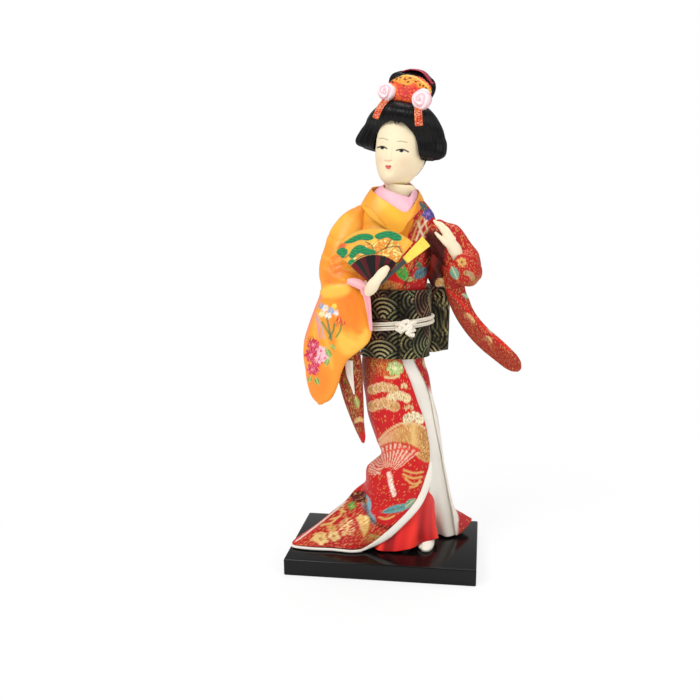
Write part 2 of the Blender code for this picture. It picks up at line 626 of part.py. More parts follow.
# sash, cord with its knot, and the bow on the back
sash_heights = np.linspace(SASH_BOTTOM, SASH_TOP, 7)
sash = shell("sash", body_grid(sash_heights, ROUND, SASH_OUT), body_grid(sash_heights, ROUND, SASH_IN), "sash",
             around=True)
cords = []
for name, level in (("cord_upper", CORD_RADIUS + 0.15), ("cord_lower", -CORD_RADIUS - 0.15)):
    rings = []
    for t in [2 * math.pi * k / 40 for k in range(40)]:
        height = 123.2 + level + 1.7 * math.cos(t)
        middle = raised(body, body_row(height), t, CORD_CENTRE)
        outward = raised(body, body_row(height), t, CORD_CENTRE + 1.0) - middle
        outward[2] = 0.0
        outward = outward / np.linalg.norm(outward)
        rings.append(ellipse(middle, outward * CORD_RADIUS, (0, 0, CORD_RADIUS), 6))
    rings = np.array(rings)
    points = list(rings.reshape(-1, 3))
    faces = []
    for r in range(40):
        for s in range(6):
            q, p = (r + 1) % 40, (s + 1) % 6
            faces.append((r * 6 + s, r * 6 + p, q * 6 + p, q * 6 + s))
    cords.append(solid(name, points, faces, "white"))
knot_x, knot_y, knot_z = 10.6, -11.6, 123.0
cord_knot = loft("cord_knot", [ellipse((knot_x + dx, knot_y, knot_z), (0, r * 0.62, 0), (0, 0, r), 16)
                               for dx, r in ((-4.2, 1.8), (-3.0, 3.3), (-1.0, 3.9), (1.4, 4.0), (3.2, 3.2),
                                             (4.4, 1.8))], "white")
waist = body_blank("waist", SASH_BOTTOM - 4, SASH_TOP + 4, SASH_OUT)
cut(cord_knot, *cords)
cut(cord_knot, waist)
bow_rings = []
for x, share in ((-1.0, 0.55), (-0.94, 0.85), (-0.6, 1.0), (0.0, 0.96), (0.6, 1.0), (0.94, 0.85), (1.0, 0.55)):
    ring = []
    for k in range(24):
        t = 2 * math.pi * k / 24
        c, s = math.cos(t), math.sin(t)
        ring.append((7.0 + BOW_HALF_WIDTH * x, 20.0 + 6.6 * share * math.copysign(abs(c) ** 0.6, c),
                     123.0 + BOW_HALF_HEIGHT * (0.86 + 0.14 * share) * math.copysign(abs(s) ** 0.5, s)))
    bow_rings.append(ring)
bow = loft("sash_bow", bow_rings, "sash")
cut(bow, waist, *cords)

# right sleeve of the over-robe: height, left, right, centre y, half depth, how far its right end comes forward
SLEEVE = [
    (83.6, -33.2, -30.2, -10, 0.9, 0.2), (85.3, -35.2, -27.0, -10, 1.6, 0.5), (88.6, -37.2, -24.6, -10.1, 2.3, 0.9),
    (95.3, -38.8, -21.9, -10.5, 3.0, 1.5), (100, -39.2, -20.5, -11, 3.2, 1.8), (106, -40, -17.6, -11.6, 3.3, 2.2),
    (111, -40, -12.0, -12.2, 3.4, 3.0), (116, -39.4, -6.8, -12.4, 3.7, 3.6), (122, -37.5, -5.2, -12.4, 4.2, 3.6),
    (130, -34.5, -6.3, -11.6, 5.0, 3.0),
    (139.5, -31.2, -8.3, -9.0, 7.0, 2.0), (146, -32.4, -9.8, -6.0, 8.6, 1.4), (152, -32.3, -11, -4.0, 8.8, 0.8),
    (158.7, -30.4, -10, -2, 8.4, 0.2), (166.8, -27.7, -9, 0.4, 7.8, 0), (173, -23.5, -8, 2, 6.6, 0),
    (176.5, -19.4, -8.5, 3, 5.0, 0), (178.2, -15.8, -9.6, 3.5, 3.0, 0),
]
sleeve_rings = [ellipse(((left + right) / 2, y, z), ((right - left) / 2, -lead, 0), (0, depth, 0), 22)
                for z, left, right, y, depth, lead in SLEEVE]
over_sleeve = loft("over_sleeve", sleeve_rings, "orange")
lining_path = curve([(-15.5, -17.4, 147.0), (-10.5, -18.4, 144.6), (-7.6, -18.6, 139.6), (-6.2, -18.8, 131.0),
                     (-5.0, -18.6, 122.0)], 14)
sleeve_lining = loft("sleeve_lining", strip_rings(lining_path, [(0.35, -1, 0)] * 14,
                                                  [1.0, 1.5, 1.9, 2.0, 2.0, 1.9, 1.8, 1.7, 1.6, 1.5, 1.4, 1.2, 1.0,
                                                   0.7], [0.4] * 14, 8), "pink")
cut(sleeve_lining, hand_right)
trunk = body_blank("trunk", 134.0, 180.5, ROBE_OUT)
cut(over_sleeve, trunk, hand_right, sleeve_lining, arm_wires["right"], waist, outer_collar)

# hanging end of the right red sleeve behind the over-sleeve, with its turned lining
under_sleeve = loft("under_sleeve_right", [
    ellipse(((left + right) / 2, -5.6, z), ((right - left) / 2, -0.8, 0), (0, depth, 0), 20)
    for z, left, right, depth in (
        (63.4, -12.4, -10.2, 0.6), (66.2, -13.8, -9.8, 1.2), (73.3, -16.9, -10.4, 1.8), (84.9, -21.1, -10.7, 2.2),
        (95.2, -23.6, -11.1, 2.4), (104, -24.0, -11.7, 2.4), (114, -23.6, -13.0, 2.4), (126, -22.0, -14.4, 2.6),
        (134, -21.4, -15.6, 2.6))], "red")
cut(under_sleeve, over_sleeve)
cut(under_sleeve, arm_wires["right"])
turned = [[(-19.6, -8.55, 105.0), (-17.6, -8.6, 105.0), (-15.6, -8.6, 105.0)],
          [(-18.9, -8.5, 98.0), (-17.3, -8.6, 98.0), (-15.4, -8.5, 98.0)],
          [(-16.8, -8.3, 92.5), (-15.9, -8.3, 92.5), (-15.0, -8.2, 92.5)],
          [(-15.5, -8.2, 88.6), (-15.1, -8.2, 88.6), (-14.7, -8.1, 88.6)]]
turned_lining = shell("under_sleeve_lining", np.array(turned) - (0, 0.5, 0), np.array(turned) + (0, 0.3, 0), "white")
cut(turned_lining, over_sleeve)
cut(turned_lining, under_sleeve)

# left sleeve: upper arm, elbow with its mouth, and the long hanging end
left_sleeve = loft("left_sleeve", [
    ellipse(c, u, v, 18) for c, u, v in (
        ((17.0, 3.4, 164.5), (0, 6.6, 0), (2.6, 0, 6.4)), ((23.0, 3.0, 163.0), (0, 6.6, 0), (3.0, 0, 6.6)),
        ((30.0, 2.0, 159.0), (0, 6.6, 0), (4.4, 0, 6.8)), ((35.0, 0.0, 154.6), (0, 7.0, 0), (5.4, 0, 7.0)),
        ((38.6, -2.0, 151.6), (0, 6.8, 0), (5.2, 0, 6.2)), ((42.0, -3.0, 149.4), (0, 4.6, 0), (3.2, 0, 3.8)),
        ((43.6, -3.4, 148.6), (0, 2.0, 0), (1.4, 0, 1.8)))], "red")
elbow = loft("elbow", [ellipse((36.6 + dx, -5.0, 150.8 - dx * 0.3), (0, r * 0.86, 0), (r * 0.1, 0, r), 16)
                       for dx, r in ((-8.2, 2.4), (-7.0, 4.8), (-4.0, 7.2), (0.0, 8.4), (4.0, 7.8), (7.0, 5.6),
                                     (8.6, 2.6))], "red")
# inner side of the sleeve, gathered between the body and the arm
fold = loft("inner_fold", [ellipse((x, y, z), (a, 0, 0), (0, b, 0), 16) for z, x, y, a, b in (
    (141.6, 25.4, 4.4, 4.4, 2.0), (148, 24.4, 4.0, 6.0, 3.2), (156, 23.6, 3.8, 6.4, 4.0), (163, 23.0, 3.5, 5.4, 4.0))],
    "red")
mouth = np.array([(37.4, 160.6), (27.2, 148.6)])
along = (mouth[1] - mouth[0]) / np.linalg.norm(mouth[1] - mouth[0])
away = np.array([along[1], -along[0]])
corners = [mouth[0] - along * 14, mouth[1] + along * 14]
corners = [corners[0], corners[1], corners[1] + away * 26, corners[0] + away * 26]
mouth_tool = loft("mouth_tool", [[(x, y, z) for x, z in corners] for y in (-4.0, -16.0)], "red")
combine(elbow, mouth_tool, "DIFFERENCE")
bpy.data.objects.remove(mouth_tool, do_unlink=True)
join(left_sleeve, elbow)
drop_path = curve([(31.8, -0.5, 151.0), (32.4, 1.4, 144.0), (34.0, 2.4, 136.0), (38.8, 3.4, 126.0), (46.0, 3.8, 117.2),
                   (55.6, 3.8, 109.0), (61.2, 3.6, 104.2), (65.0, 3.4, 100.6)], 15)
drop_along = np.linspace(0, 1, 15)
drop_half = np.interp(drop_along, [0, 0.2, 0.45, 0.65, 0.85, 0.93, 1.0], [5.2, 4.8, 4.6, 5.0, 4.4, 3.4, 1.6])
drop_deep = np.interp(drop_along, [0, 0.3, 0.8, 0.93, 1.0], [3.4, 3.0, 2.4, 1.6, 0.7])
left_drop = loft("left_sleeve_drop", strip_rings(drop_path, [(0, -1, 0)] * 15, drop_half, drop_deep, 14), "red")
cut(left_drop, left_sleeve, fold, sash, waist, bow, arm_wires["left"])
join(left_sleeve, fold)
cut(left_sleeve, trunk, hand_left, arm_wires["left"])
bpy.data.objects.remove(trunk, do_unlink=True)

# skirt: every row runs from the over-panel's edge round the left, back and right to the lining's two edges
EDGE_X = ((112, 6.5), (104, 8.8), (95, 12.7), (85, 16.2), (75, 19.8), (62, 22.4))
LINING_X = ((112, 12.0), (104, 15.0), (95, 19.4), (85, 22.4), (75, 24.6), (62, 27.2))
HIPS = ((112, 3.7, 3.3, 14.8, 10.9), (104, 3.0, 3.4, 15.3, 11.0), (95, 4.2, 3.6, 16.9, 12.2),
        (85, 5.8, 3.9, 17.0, 13.0), (75, 8.0, 3.8, 17.8, 13.2), (62, 11.2, 3.4, 16.6, 12.8))
SKIRT = []
for (z, x, y, a, b), (_, edge_x), (_, lining_x) in zip(HIPS, EDGE_X, LINING_X):
    first = -math.degrees(math.asin((edge_x - x) / a))
    right_end = 360 - math.degrees(math.asin(min((lining_x - x) / a, 0.985)))
    left_end = 360 - math.degrees(math.asin((edge_x - 1.6 - x) / a))
    turns = [first, *(first + (90 - first) * k / 4 for k in (1, 2, 3)), 90, 120, 150, 180, 210, 240, 262,
             right_end, left_end]
    SKIRT.append([(x - a * math.sin(math.radians(t)), y - b * math.cos(math.radians(t)), z) for t in turns])
SKIRT += [
    [(22.6, -9.8, 55), (17, -12.8, 55), (8, -12.5, 55), (1, -8.5, 55), (-2.8, 0, 55), (-2, 7, 55), (3, 12.5, 55),
     (9, 15, 55), (15, 15.3, 55), (22.5, 12.8, 55), (27.6, 7.5, 55), (28.4, 2.5, 55), (22.6, -8.6, 55)],
    [(20.8, -11.5, 48), (14, -14.2, 48), (4, -14, 48), (-5, -9.5, 48), (-9.8, 0, 48), (-8.5, 7, 48), (-2, 13, 48),
     (6, 15.8, 48), (14, 16, 48), (23, 13.2, 48), (28.8, 7.5, 48), (29.6, 2.5, 48), (23.4, -8.2, 48)],
    [(18.3, -12.5, 40), (12, -14.8, 40), (1, -14.5, 40), (-7, -9.5, 40), (-10.8, 0, 40), (-9.5, 7, 40),
     (-3, 13.5, 40), (6, 16.5, 40), (14, 16.5, 40), (24, 13.5, 40), (30.2, 8, 40), (31.2, 3, 40), (23.6, -7.4, 40)],
    [(14, -14.5, 33), (8, -15.3, 33), (-1, -14, 33), (-8, -9.5, 33), (-13.6, -1, 33), (-17.5, 5, 33),
     (-11, 13, 33), (0, 16.8, 33), (11, 17.5, 33), (23, 15, 33), (31.2, 9, 33), (32.4, 3.5, 33), (22.2, -5.6, 33)],
    [(6, -15.8, 24), (0, -16.4, 24), (-8, -15.2, 24), (-17, -11.5, 24), (-27, -4, 24), (-24, 5, 24), (-16, 13, 24),
     (-3, 18.4, 24), (10, 20, 24), (25, 18, 24), (34, 12, 24), (34.2, 5, 24), (20.6, -1, 24)],
    [(-2.5, -17, 16), (-10, -18, 16), (-19, -17, 16), (-29, -15, 16), (-37, -9, 16), (-35, 0, 16), (-24, 12, 16),
     (-8, 21, 16), (10, 23.5, 16), (28, 22, 16.5), (40, 17, 18), (35.4, 6, 16), (21.6, 3.6, 16)],
    [(-9, -17.5, 10.9), (-15, -19.8, 10.9), (-25, -19, 10.9), (-37, -19.2, 10.9), (-46.2, -16.6, 10.9),
     (-43.5, -5, 10.9), (-31, 13, 10.9), (-10, 24.5, 10.9), (14, 27.5, 10.9), (34, 26, 11.5), (44.2, 20.5, 14),
     (36.4, 6.2, 10.0), (24, 5.2, 9.8)],
]
SKIRT = np.array(SKIRT)
LAST_ROW = len(SKIRT) - 1
LINING_FROM, LINING_TO = 11, 12


def skirt(row, station):
    """Point of the skirt's outer face; rows run down and stations run round from the over-panel's edge."""
    return between([between(line, station) for line in SKIRT], row)


def skirt_grid(rows, stations, grow):
    """Grid of points over the skirt, moved out by a distance."""
    return [[raised(skirt, r, s, grow) for s in stations] for r in rows]


skirt_rows = np.linspace(0.0, LAST_ROW, 21)
skirt_stations = np.linspace(0.0, LINING_FROM, 31)
kimono_skirt = shell("kimono_skirt", skirt_grid(skirt_rows, skirt_stations, 0.0),
                     skirt_grid(skirt_rows, skirt_stations, -SKIRT_CLOTH), "red")
lining_rows = np.linspace(0.6, LAST_ROW, 21)
lining_stations = np.linspace(LINING_FROM - 0.25, LINING_TO, 7)
skirt_lining = shell("skirt_lining", skirt_grid(lining_rows, lining_stations, -SKIRT_CLOTH - GAP),
                     skirt_grid(lining_rows, lining_stations, -SKIRT_CLOTH - GAP - LINING_CLOTH), "white")

# padded hem band down the over-panel's edge and along the front of the train
band_path, band_facing, band_width = [], [], []
for row in np.linspace(6.0, LAST_ROW - 0.15, 16):
    here = skirt(row, 0.0)
    cloth_side = skirt(row, 0.3) - here
    down = skirt(row + 0.1, 0.0) - skirt(row - 0.1, 0.0)
    down = down / np.linalg.norm(down)
    outside = -(cloth_side - down * cloth_side.dot(down))
    outside = outside / np.linalg.norm(outside)
    half = float(np.interp(row, [6.0, 7.0, 10.5, LAST_ROW], [0.7, 1.9, 1.9, 0.8]))
    point = here + outside * (half + GAP)
    point[2] = max(point[2], GROUND + half)
    band_path.append(point)
    band_facing.append(raised(skirt, row, 0.05, 1.0) - skirt(row, 0.05))
    band_width.append(half)
for station in np.linspace(0.35, 4.9, 20):
    point = skirt(LAST_ROW, station)
    point[2] = GROUND + 0.75
    band_path.append(point)
    band_facing.append(raised(skirt, LAST_ROW - 0.5, station, 1.0) - skirt(LAST_ROW - 0.5, station))
    band_width.append(0.75)
hem_band = loft("hem_band", strip_rings(band_path, band_facing, band_width, [0.6] * len(band_path), 8), "white")

# plain under-skirt round the feet, with its hem lifted over the front foot's toes
UNDER = np.array([
    [(24, 2, 58), (22, -5, 58), (15, -8.6, 58), (8, -7, 58), (3, 1, 58), (6, 8, 58), (13, 10.5, 58), (20, 9, 58)],
    [(25.6, 2, 44), (22.6, -6, 44), (14, -10.2, 44), (4, -8, 44), (-2, 1, 44), (2, 9, 44), (12, 12, 44),
     (22, 9.6, 44)],
    [(25.0, 0, 30), (21.0, -8, 30), (12, -11.8, 30), (2, -10, 30), (-4, 0, 30), (0, 9, 30), (11, 12.5, 30),
     (21, 9.0, 30)],
    [(25.6, -1.5, 20), (20.6, -10.2, 20), (11, -14.2, 20), (0, -12.6, 20), (-7, -1, 20), (-2, 9, 20), (10, 13, 20),
     (20, 8.6, 20)],
    [(27.0, -2.6, 13.6), (21.0, -10.6, 13.9), (9.5, -16.4, 10.5), (-2, -16.4, 9.6), (-9, -2, 9.6), (-3, 9, 9.6),
     (9, 13.4, 9.6), (19.6, 8.4, 9.6)],
])


def under(row, station):
    """Point of the under-skirt's outer face."""
    return between([between(line, station, True) for line in UNDER], row)


under_rows = np.linspace(0.0, 4.0, 10)
under_stations = np.linspace(0.0, 8.0, 29)[:-1]
under_skirt = shell("under_skirt",
                    [[raised(under, r, s, 0.0) for s in under_stations] for r in under_rows],
                    [[raised(under, r, s, SKIRT_CLOTH) for s in under_stations] for r in under_rows],
                    "scarlet", around=True)
cut(under_skirt, *feet.values(), *leg_wires.values())
cut(kimono_skirt, under_skirt, core, *leg_wires.values())
cut(skirt_lining, under_skirt, core, kimono_skirt)
cut(hem_band, kimono_skirt, under_skirt, skirt_lining)
bpy.data.objects.remove(waist, do_unlink=True)
bpy.data.objects.remove(blank, do_unlink=True)
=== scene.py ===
"""Looks of a dressed display doll on a lacquered board: robes, sash, fan, hands, painted head and hair.

Lengths are millimetres until a mesh is made; +X is the viewer's right and the doll faces -Y.
A row of an artwork table names a method of Paint and gives what it takes, in pixels of the front view.
"""

import logging
import math
from dataclasses import dataclass
from enum import Enum

import bpy
import numpy as np
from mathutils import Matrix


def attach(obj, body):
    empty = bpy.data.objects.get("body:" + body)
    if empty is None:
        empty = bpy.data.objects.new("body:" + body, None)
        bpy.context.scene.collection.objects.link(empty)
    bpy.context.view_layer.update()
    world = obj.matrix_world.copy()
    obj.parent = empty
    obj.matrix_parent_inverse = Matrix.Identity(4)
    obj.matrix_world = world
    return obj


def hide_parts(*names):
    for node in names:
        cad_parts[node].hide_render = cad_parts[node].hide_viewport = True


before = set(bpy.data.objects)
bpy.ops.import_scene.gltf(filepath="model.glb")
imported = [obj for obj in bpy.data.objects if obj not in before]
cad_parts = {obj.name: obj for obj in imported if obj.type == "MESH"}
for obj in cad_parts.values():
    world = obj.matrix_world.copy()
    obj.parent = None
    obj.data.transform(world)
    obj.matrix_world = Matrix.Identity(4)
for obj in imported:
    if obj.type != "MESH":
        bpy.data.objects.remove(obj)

LOG = logging.getLogger("doll")
MM = 0.001
UV_SPAN = 250.0  # millimetres of cloth across one unit of a piece's own UV map
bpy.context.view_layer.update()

# where the picture was taken from: the front view's artwork is placed by its pixels at 700 by 700
EYE = np.array((46.67, -399.05, 185.75))
EYE_TURN = math.radians(7.65)
EYE_FALL = math.radians(13.72)
FOCAL = 824.85
MIDDLE = (372.84, 392.45)

# pressed body: height, centre x, centre y, half width, half depth
BODY = np.array([
    (64, 11, 4, 11, 9), (75, 8.3, 4, 13, 10), (90, 5.3, 3.8, 13.8, 10.4), (105, 3.5, 3.4, 14.2, 10.3),
    (122, 4.1, 3.2, 13.8, 10.2), (140, 4.9, 3, 13.0, 10), (150, 5, 3, 14.6, 10.2), (160, 4.6, 3.2, 17.2, 10),
    (168, 4.4, 3.6, 18.2, 9.6), (174, 4.8, 3.9, 16.3, 9), (178, 5.2, 4.1, 13, 8.6),
    (180.5, 5.5, 4.2, 10.5, 8.2),
], float)
BODICE_OUT = 1.1
ROBE_OUT = 2.4
SASH_OUT = 3.1
GROUND = 8.95


def linear(colour: str) -> tuple[float, float, float]:
    """Turn an sRGB hex colour to linear light.

    Args:
        colour: Colour such as "#c3161c".

    Returns:
        Red, green and blue in linear light.
    """
    parts = [int(colour[k:k + 2], 16) / 255 for k in (1, 3, 5)]
    red, green, blue = (p / 12.92 if p <= 0.04045 else ((p + 0.055) / 1.055) ** 2.4 for p in parts)
    return red, green, blue


def spline(table: np.ndarray, at: np.ndarray, closed: bool = False) -> np.ndarray:
    """Read a smooth curve through the entries of a table.

    Args:
        table: Control entries along the first axis.
        at: Parameters, one unit an entry.
        closed: Whether the last entry leads back to the first.

    Returns:
        One entry for each parameter.
    """
    table, at = np.asarray(table, float), np.asarray(at, float)
    count = len(table)
    last = count if closed else count - 1
    at = at % last if closed else np.clip(at, 0, last)
    i = np.minimum(at.astype(int), last - 1)
    f = (at - i).reshape(at.shape + (1,) * (table.ndim - 1))
    a, b, c, d = (table[(i + k) % count if closed else np.clip(i + k, 0, count - 1)] for k in (-1, 0, 1, 2))
    return 0.5 * (2 * b + (c - a) * f + (2 * a - 5 * b + 4 * c - d) * f ** 2 + (3 * b - a - 3 * c + d)
                  * f ** 3)


def run(points: list, count: int, closed: bool = False) -> np.ndarray:
    """Even steps on the smooth curve through the points."""
    last = len(points) if closed else len(points) - 1
    return spline(np.array(points, float), np.linspace(0, last, count, endpoint=not closed), closed)


def unit(vectors: np.ndarray) -> np.ndarray:
    """Vectors at length one."""
    return vectors / np.maximum(np.linalg.norm(vectors, axis=-1, keepdims=True), 1e-9)


def normals(grid: np.ndarray, around: bool = False) -> np.ndarray:
    """Normals of a grid of points, from its rows and columns.

    Args:
        grid: Points by row and column.
        around: Whether the columns close on themselves.

    Returns:
        Unit normals, column direction crossed with row direction.
    """
    along = np.gradient(grid, axis=0)
    if around:
        across = np.roll(grid, -1, axis=1) - np.roll(grid, 1, axis=1)
    else:
        across = np.gradient(grid, axis=1)
    return unit(np.cross(across, along))


def outward(grid: np.ndarray, around: bool = True) -> np.ndarray:
    """Normals of a grid that winds round a middle line, turned away from that line."""
    out = normals(grid, around)
    return out if float((out * (grid - grid.mean(axis=1, keepdims=True))).sum()) > 0 else -out


def facing(grid: np.ndarray, out: np.ndarray) -> np.ndarray:
    """Share of each point's paint that the viewing point sees: 1 in front, 0 on the far side."""
    return np.clip(((unit(EYE - grid) * out).sum(-1) - 0.02) * 12, 0, 1)


def ovals(centres: list, across: list, up: list, rows: int, columns: int) -> np.ndarray:
    """Elliptical rings through a short table of them.

    Args:
        centres: Middle of each ring of the table.
        across: First half axis of each ring.
        up: Second half axis of each ring.
        rows: Rings made.
        columns: Points round each ring.

    Returns:
        Points by ring and place round it.
    """
    at = np.linspace(0, len(centres) - 1, rows)
    c, u, v = (spline(np.array(t, float), at)[:, None] for t in (centres, across, up))
    turn = np.linspace(0, 2 * math.pi, columns, endpoint=False)[None, :, None]
    return c + u * np.cos(turn) + v * np.sin(turn)


def rings(path: np.ndarray, toward: np.ndarray, widths: np.ndarray, depths: np.ndarray,
          sides: int) -> np.ndarray:
    """Elliptical rings along a path.

    Args:
        path: Points of the middle line.
        toward: Direction of each ring's depth, one for all or one a point.
        widths: Half width of each ring across the path.
        depths: Half depth of each ring.
        sides: Points round each ring.

    Returns:
        Points by ring and place round it.
    """
    heading = unit(np.gradient(path, axis=0))
    toward = np.broadcast_to(np.asarray(toward, float), path.shape)
    toward = unit(toward - heading * (toward * heading).sum(-1, keepdims=True))
    side = np.cross(heading, toward)
    turns = np.linspace(0, 2 * math.pi, sides, endpoint=False)[None, :, None]
    widths, depths = (np.broadcast_to(np.asarray(v, float), len(path))[:, None, None] for v
                      in (widths, depths))
    return path[:, None] + side[:, None] * widths * np.cos(turns) + toward[:, None] * depths * np.sin(turns)


def rounded(table: np.ndarray, cap: int = 5) -> np.ndarray:
    """Close both ends of a run of rings with domes instead of flat ends.

    Args:
        table: Points by ring and place round it.
        cap: Rings in each dome.

    Returns:
        The rings with shrinking rings added beyond each end.
    """
    table = np.asarray(table, float)
    parts = [table]
    for end, near, first in ((table[0], table[1], True), (table[-1], table[-2], False)):
        centre = end.mean(axis=0)
        out = unit(centre - near.mean(axis=0))
        reach = 0.5 * min(np.ptp(end, axis=0)[np.ptp(end, axis=0) > 1e-6].min(), 3.0)
        steps = [math.pi / 2 * k / (cap + 0.4) for k in range(1, cap + 1)]
        dome = np.array([centre + (end - centre) * math.cos(s) + out * reach * math.sin(s) for s in steps])
        parts = [dome[::-1], *parts] if first else [*parts, dome]
    return np.concatenate(parts)


def seen(points: np.ndarray) -> tuple[np.ndarray, np.ndarray]:
    """Where points fall in the front view.

    Args:
        points: Points in millimetres.

    Returns:
        Pixels across and pixels down.
    """
    ahead = np.array((-math.sin(EYE_TURN) * math.cos(EYE_FALL), math.cos(EYE_TURN) * math.cos(EYE_FALL),
                      -math.sin(EYE_FALL)))
    right = np.array((math.cos(EYE_TURN), math.sin(EYE_TURN), 0.0))
    up = np.cross(right, ahead)
    away = points - EYE
    depth = away @ ahead
    return MIDDLE[0] + FOCAL * (away @ right) / depth, MIDDLE[1] - FOCAL * (away @ up) / depth


def body_points(heights: np.ndarray, turns: np.ndarray, grow: float | np.ndarray) -> np.ndarray:
    """Points over the pressed body.

    Args:
        heights: Height of each row.
        turns: Radians anticlockwise from the viewer's right, one list or one list a row.
        grow: Distance out from the body.

    Returns:
        Points by row and turn.
    """
    row = np.interp(heights, BODY[:, 0], np.arange(len(BODY)))
    turns = np.broadcast_to(turns, (len(heights), np.shape(turns)[-1]))

    def place(at: np.ndarray) -> np.ndarray:
        """Points of the bare body at row parameters."""
        z, x, y, a, b = (v[:, None] for v in spline(BODY, at).T)
        return np.stack((x + a * np.cos(turns), y + b * np.sin(turns), z + 0 * turns), axis=-1)

    here = place(row)
    half = spline(BODY, row)
    around = np.stack((-half[:, 3:4] * np.sin(turns), half[:, 4:5] * np.cos(turns), 0 * turns), axis=-1)
    out = unit(np.cross(around, place(row + 0.02) - place(row - 0.02)))
    return here + out * (grow if np.ndim(grow) == 0 else np.asarray(grow)[..., None])


class Paint:
    """Colours and gold thread laid on the points of one surface."""

    def __init__(self, x: np.ndarray, y: np.ndarray, ground: str, seed: int = 1) -> None:
        """Start with one ground colour.

        Args:
            x: Place across of every point, in the units that the motifs use.
            y: Place down of every point.
            ground: Hex colour of the bare cloth.
            seed: Seed of this surface's speckle.
        """
        self.x, self.y = x, y
        self.dye = np.broadcast_to(linear(ground), x.shape + (3,)).copy()
        self.gilt = np.zeros(x.shape)
        self.dice = np.random.default_rng(seed)

    def lay(self, mask: np.ndarray, colour: str, gilt: float = 0.0) -> None:
        """Lay a colour and a share of gold thread where the mask is set."""
        mask = np.clip(mask, 0, 1)
        self.dye += (np.array(linear(colour)) - self.dye) * mask[..., None]
        self.gilt += (gilt - self.gilt) * mask

    def under(self, other: "Paint", share: np.ndarray) -> None:
        """Keep this paint by its share and show the other elsewhere."""
        self.dye = self.dye * share[..., None] + other.dye * (1 - share[..., None])
        self.gilt = self.gilt * share + other.gilt * (1 - share)

    def local(self, x: float, y: float, turn: float = 0.0) -> tuple[np.ndarray, np.ndarray]:
        """Places measured from a point, turned by degrees."""
        c, s = math.cos(math.radians(turn)), math.sin(math.radians(turn))
        dx, dy = self.x - x, self.y - y
        return dx * c + dy * s, dy * c - dx * s

    def disc(self, x: float, y: float, wide: float, high: float, turn: float = 0.0,
             edge: float = 1.0) -> np.ndarray:
        """Mask of an ellipse with half sizes, with a soft edge."""
        dx, dy = self.local(x, y, turn)
        return np.clip(0.5 + (1 - np.hypot(dx / wide, dy / high)) * min(wide, high) / edge, 0, 1)

    def stroke(self, path: list, width: float, edge: float = 1.0) -> np.ndarray:
        """Mask of a line drawn through points, with its full width."""
        line = run(path, max(2, 5 * (len(path) - 1) + 1))
        near = np.full(self.x.shape, 1e9)
        for (ax, ay), (bx, by) in zip(line[:-1], line[1:]):
            length = max((bx - ax) ** 2 + (by - ay) ** 2, 1e-9)
            t = np.clip(((self.x - ax) * (bx - ax) + (self.y - ay) * (by - ay)) / length, 0, 1)
            near = np.minimum(near, np.hypot(self.x - ax - t * (bx - ax), self.y - ay - t * (by - ay)))
        return np.clip(0.5 + (width / 2 - near) / edge, 0, 1)

    def shape(self, corners: list, edge: float = 1.0) -> np.ndarray:
        """Mask of the area inside a smooth closed outline."""
        line = run(corners, 5 * len(corners), True)
        inside = np.zeros(self.x.shape, bool)
        near = np.full(self.x.shape, 1e9)
        for (ax, ay), (bx, by) in zip(line, np.roll(line, -1, axis=0)):
            if ay != by:
                inside ^= ((ay > self.y) != (by > self.y)) & (self.x < (bx - ax) * (self.y - ay)
                                                              / (by - ay) + ax)
            length = max((bx - ax) ** 2 + (by - ay) ** 2, 1e-9)
            t = np.clip(((self.x - ax) * (bx - ax) + (self.y - ay) * (by - ay)) / length, 0, 1)
            near = np.minimum(near, np.hypot(self.x - ax - t * (bx - ax), self.y - ay - t * (by - ay)))
        return np.clip(0.5 + np.where(inside, near, -near) / edge, 0, 1)

    def speckle(self, mask: np.ndarray, share: float, colour: str, gilt: float = 0.0) -> None:
        """Lay single stitches of a colour over a share of the mask."""
        self.lay(mask * (self.dice.random(self.x.shape) < share), colour, gilt)

    def strew(self, share: float, colour: str, gilt: float = 0.0) -> None:
        """Lay single stitches of a colour over the whole cloth."""
        self.speckle(np.ones(self.x.shape), share, colour, gilt)

    def wash(self, kind: str, measures: tuple, share: float, colour: str, gilt: float = 0.0) -> None:
        """Lay a colour in a shape, stroke or disc, at a strength."""
        self.lay(getattr(self, kind)(*measures) * share, colour, gilt)

    def stitches(self, kind: str, measures: tuple, share: float, colour: str, gilt: float = 0.0) -> None:
        """Lay single stitches of a colour in a shape, stroke or disc."""
        self.speckle(getattr(self, kind)(*measures), share, colour, gilt)

    def draw(self, motifs: tuple) -> None:
        """Lay motifs in order.

        Args:
            motifs: Rows of a method's name and what that method takes.
        """
        for kind, *measures in motifs:
            getattr(self, kind)(*measures)

    def cloud(self, x: float, y: float, wide: float, high: float, colour: str, gilt: float = 0.6,
              turn: float = 0.0) -> None:
        """Scalloped cloud with a pale rim and dark seeds, as woven in brocade."""
        dx, dy = self.local(x, y, turn)
        lobes = 5
        mask, rim = np.zeros(self.x.shape), np.zeros(self.x.shape)
        for k in range(lobes):
            place = (k / (lobes - 1) - 0.5) * wide * 0.74
            lift = -0.16 * high * math.cos(math.pi * (k / (lobes - 1) - 0.5) * 1.5)
            far = np.hypot((dx - place) / (wide * 0.19), (dy - lift) / (high * 0.42))
            mask = np.maximum(mask, np.clip(0.5 + (1 - far) * high * 0.4, 0, 1))
            rim = np.maximum(rim, np.clip(1 - np.abs(far - 0.92) / 0.16, 0, 1))
        self.lay(mask, colour, gilt)
        self.lay(mask * rim * 0.7, "#f6ead0", gilt * 0.5)
        seeds = (np.sin(dx * 2.3) * np.sin(dy * 2.6) > 0.55) & (np.abs(dy) < high * 0.24)
        self.lay(mask * seeds * 0.7, "#5e2a1c", 0.2)
        self.speckle(mask, 0.14, "#8c4a26", 0.4)

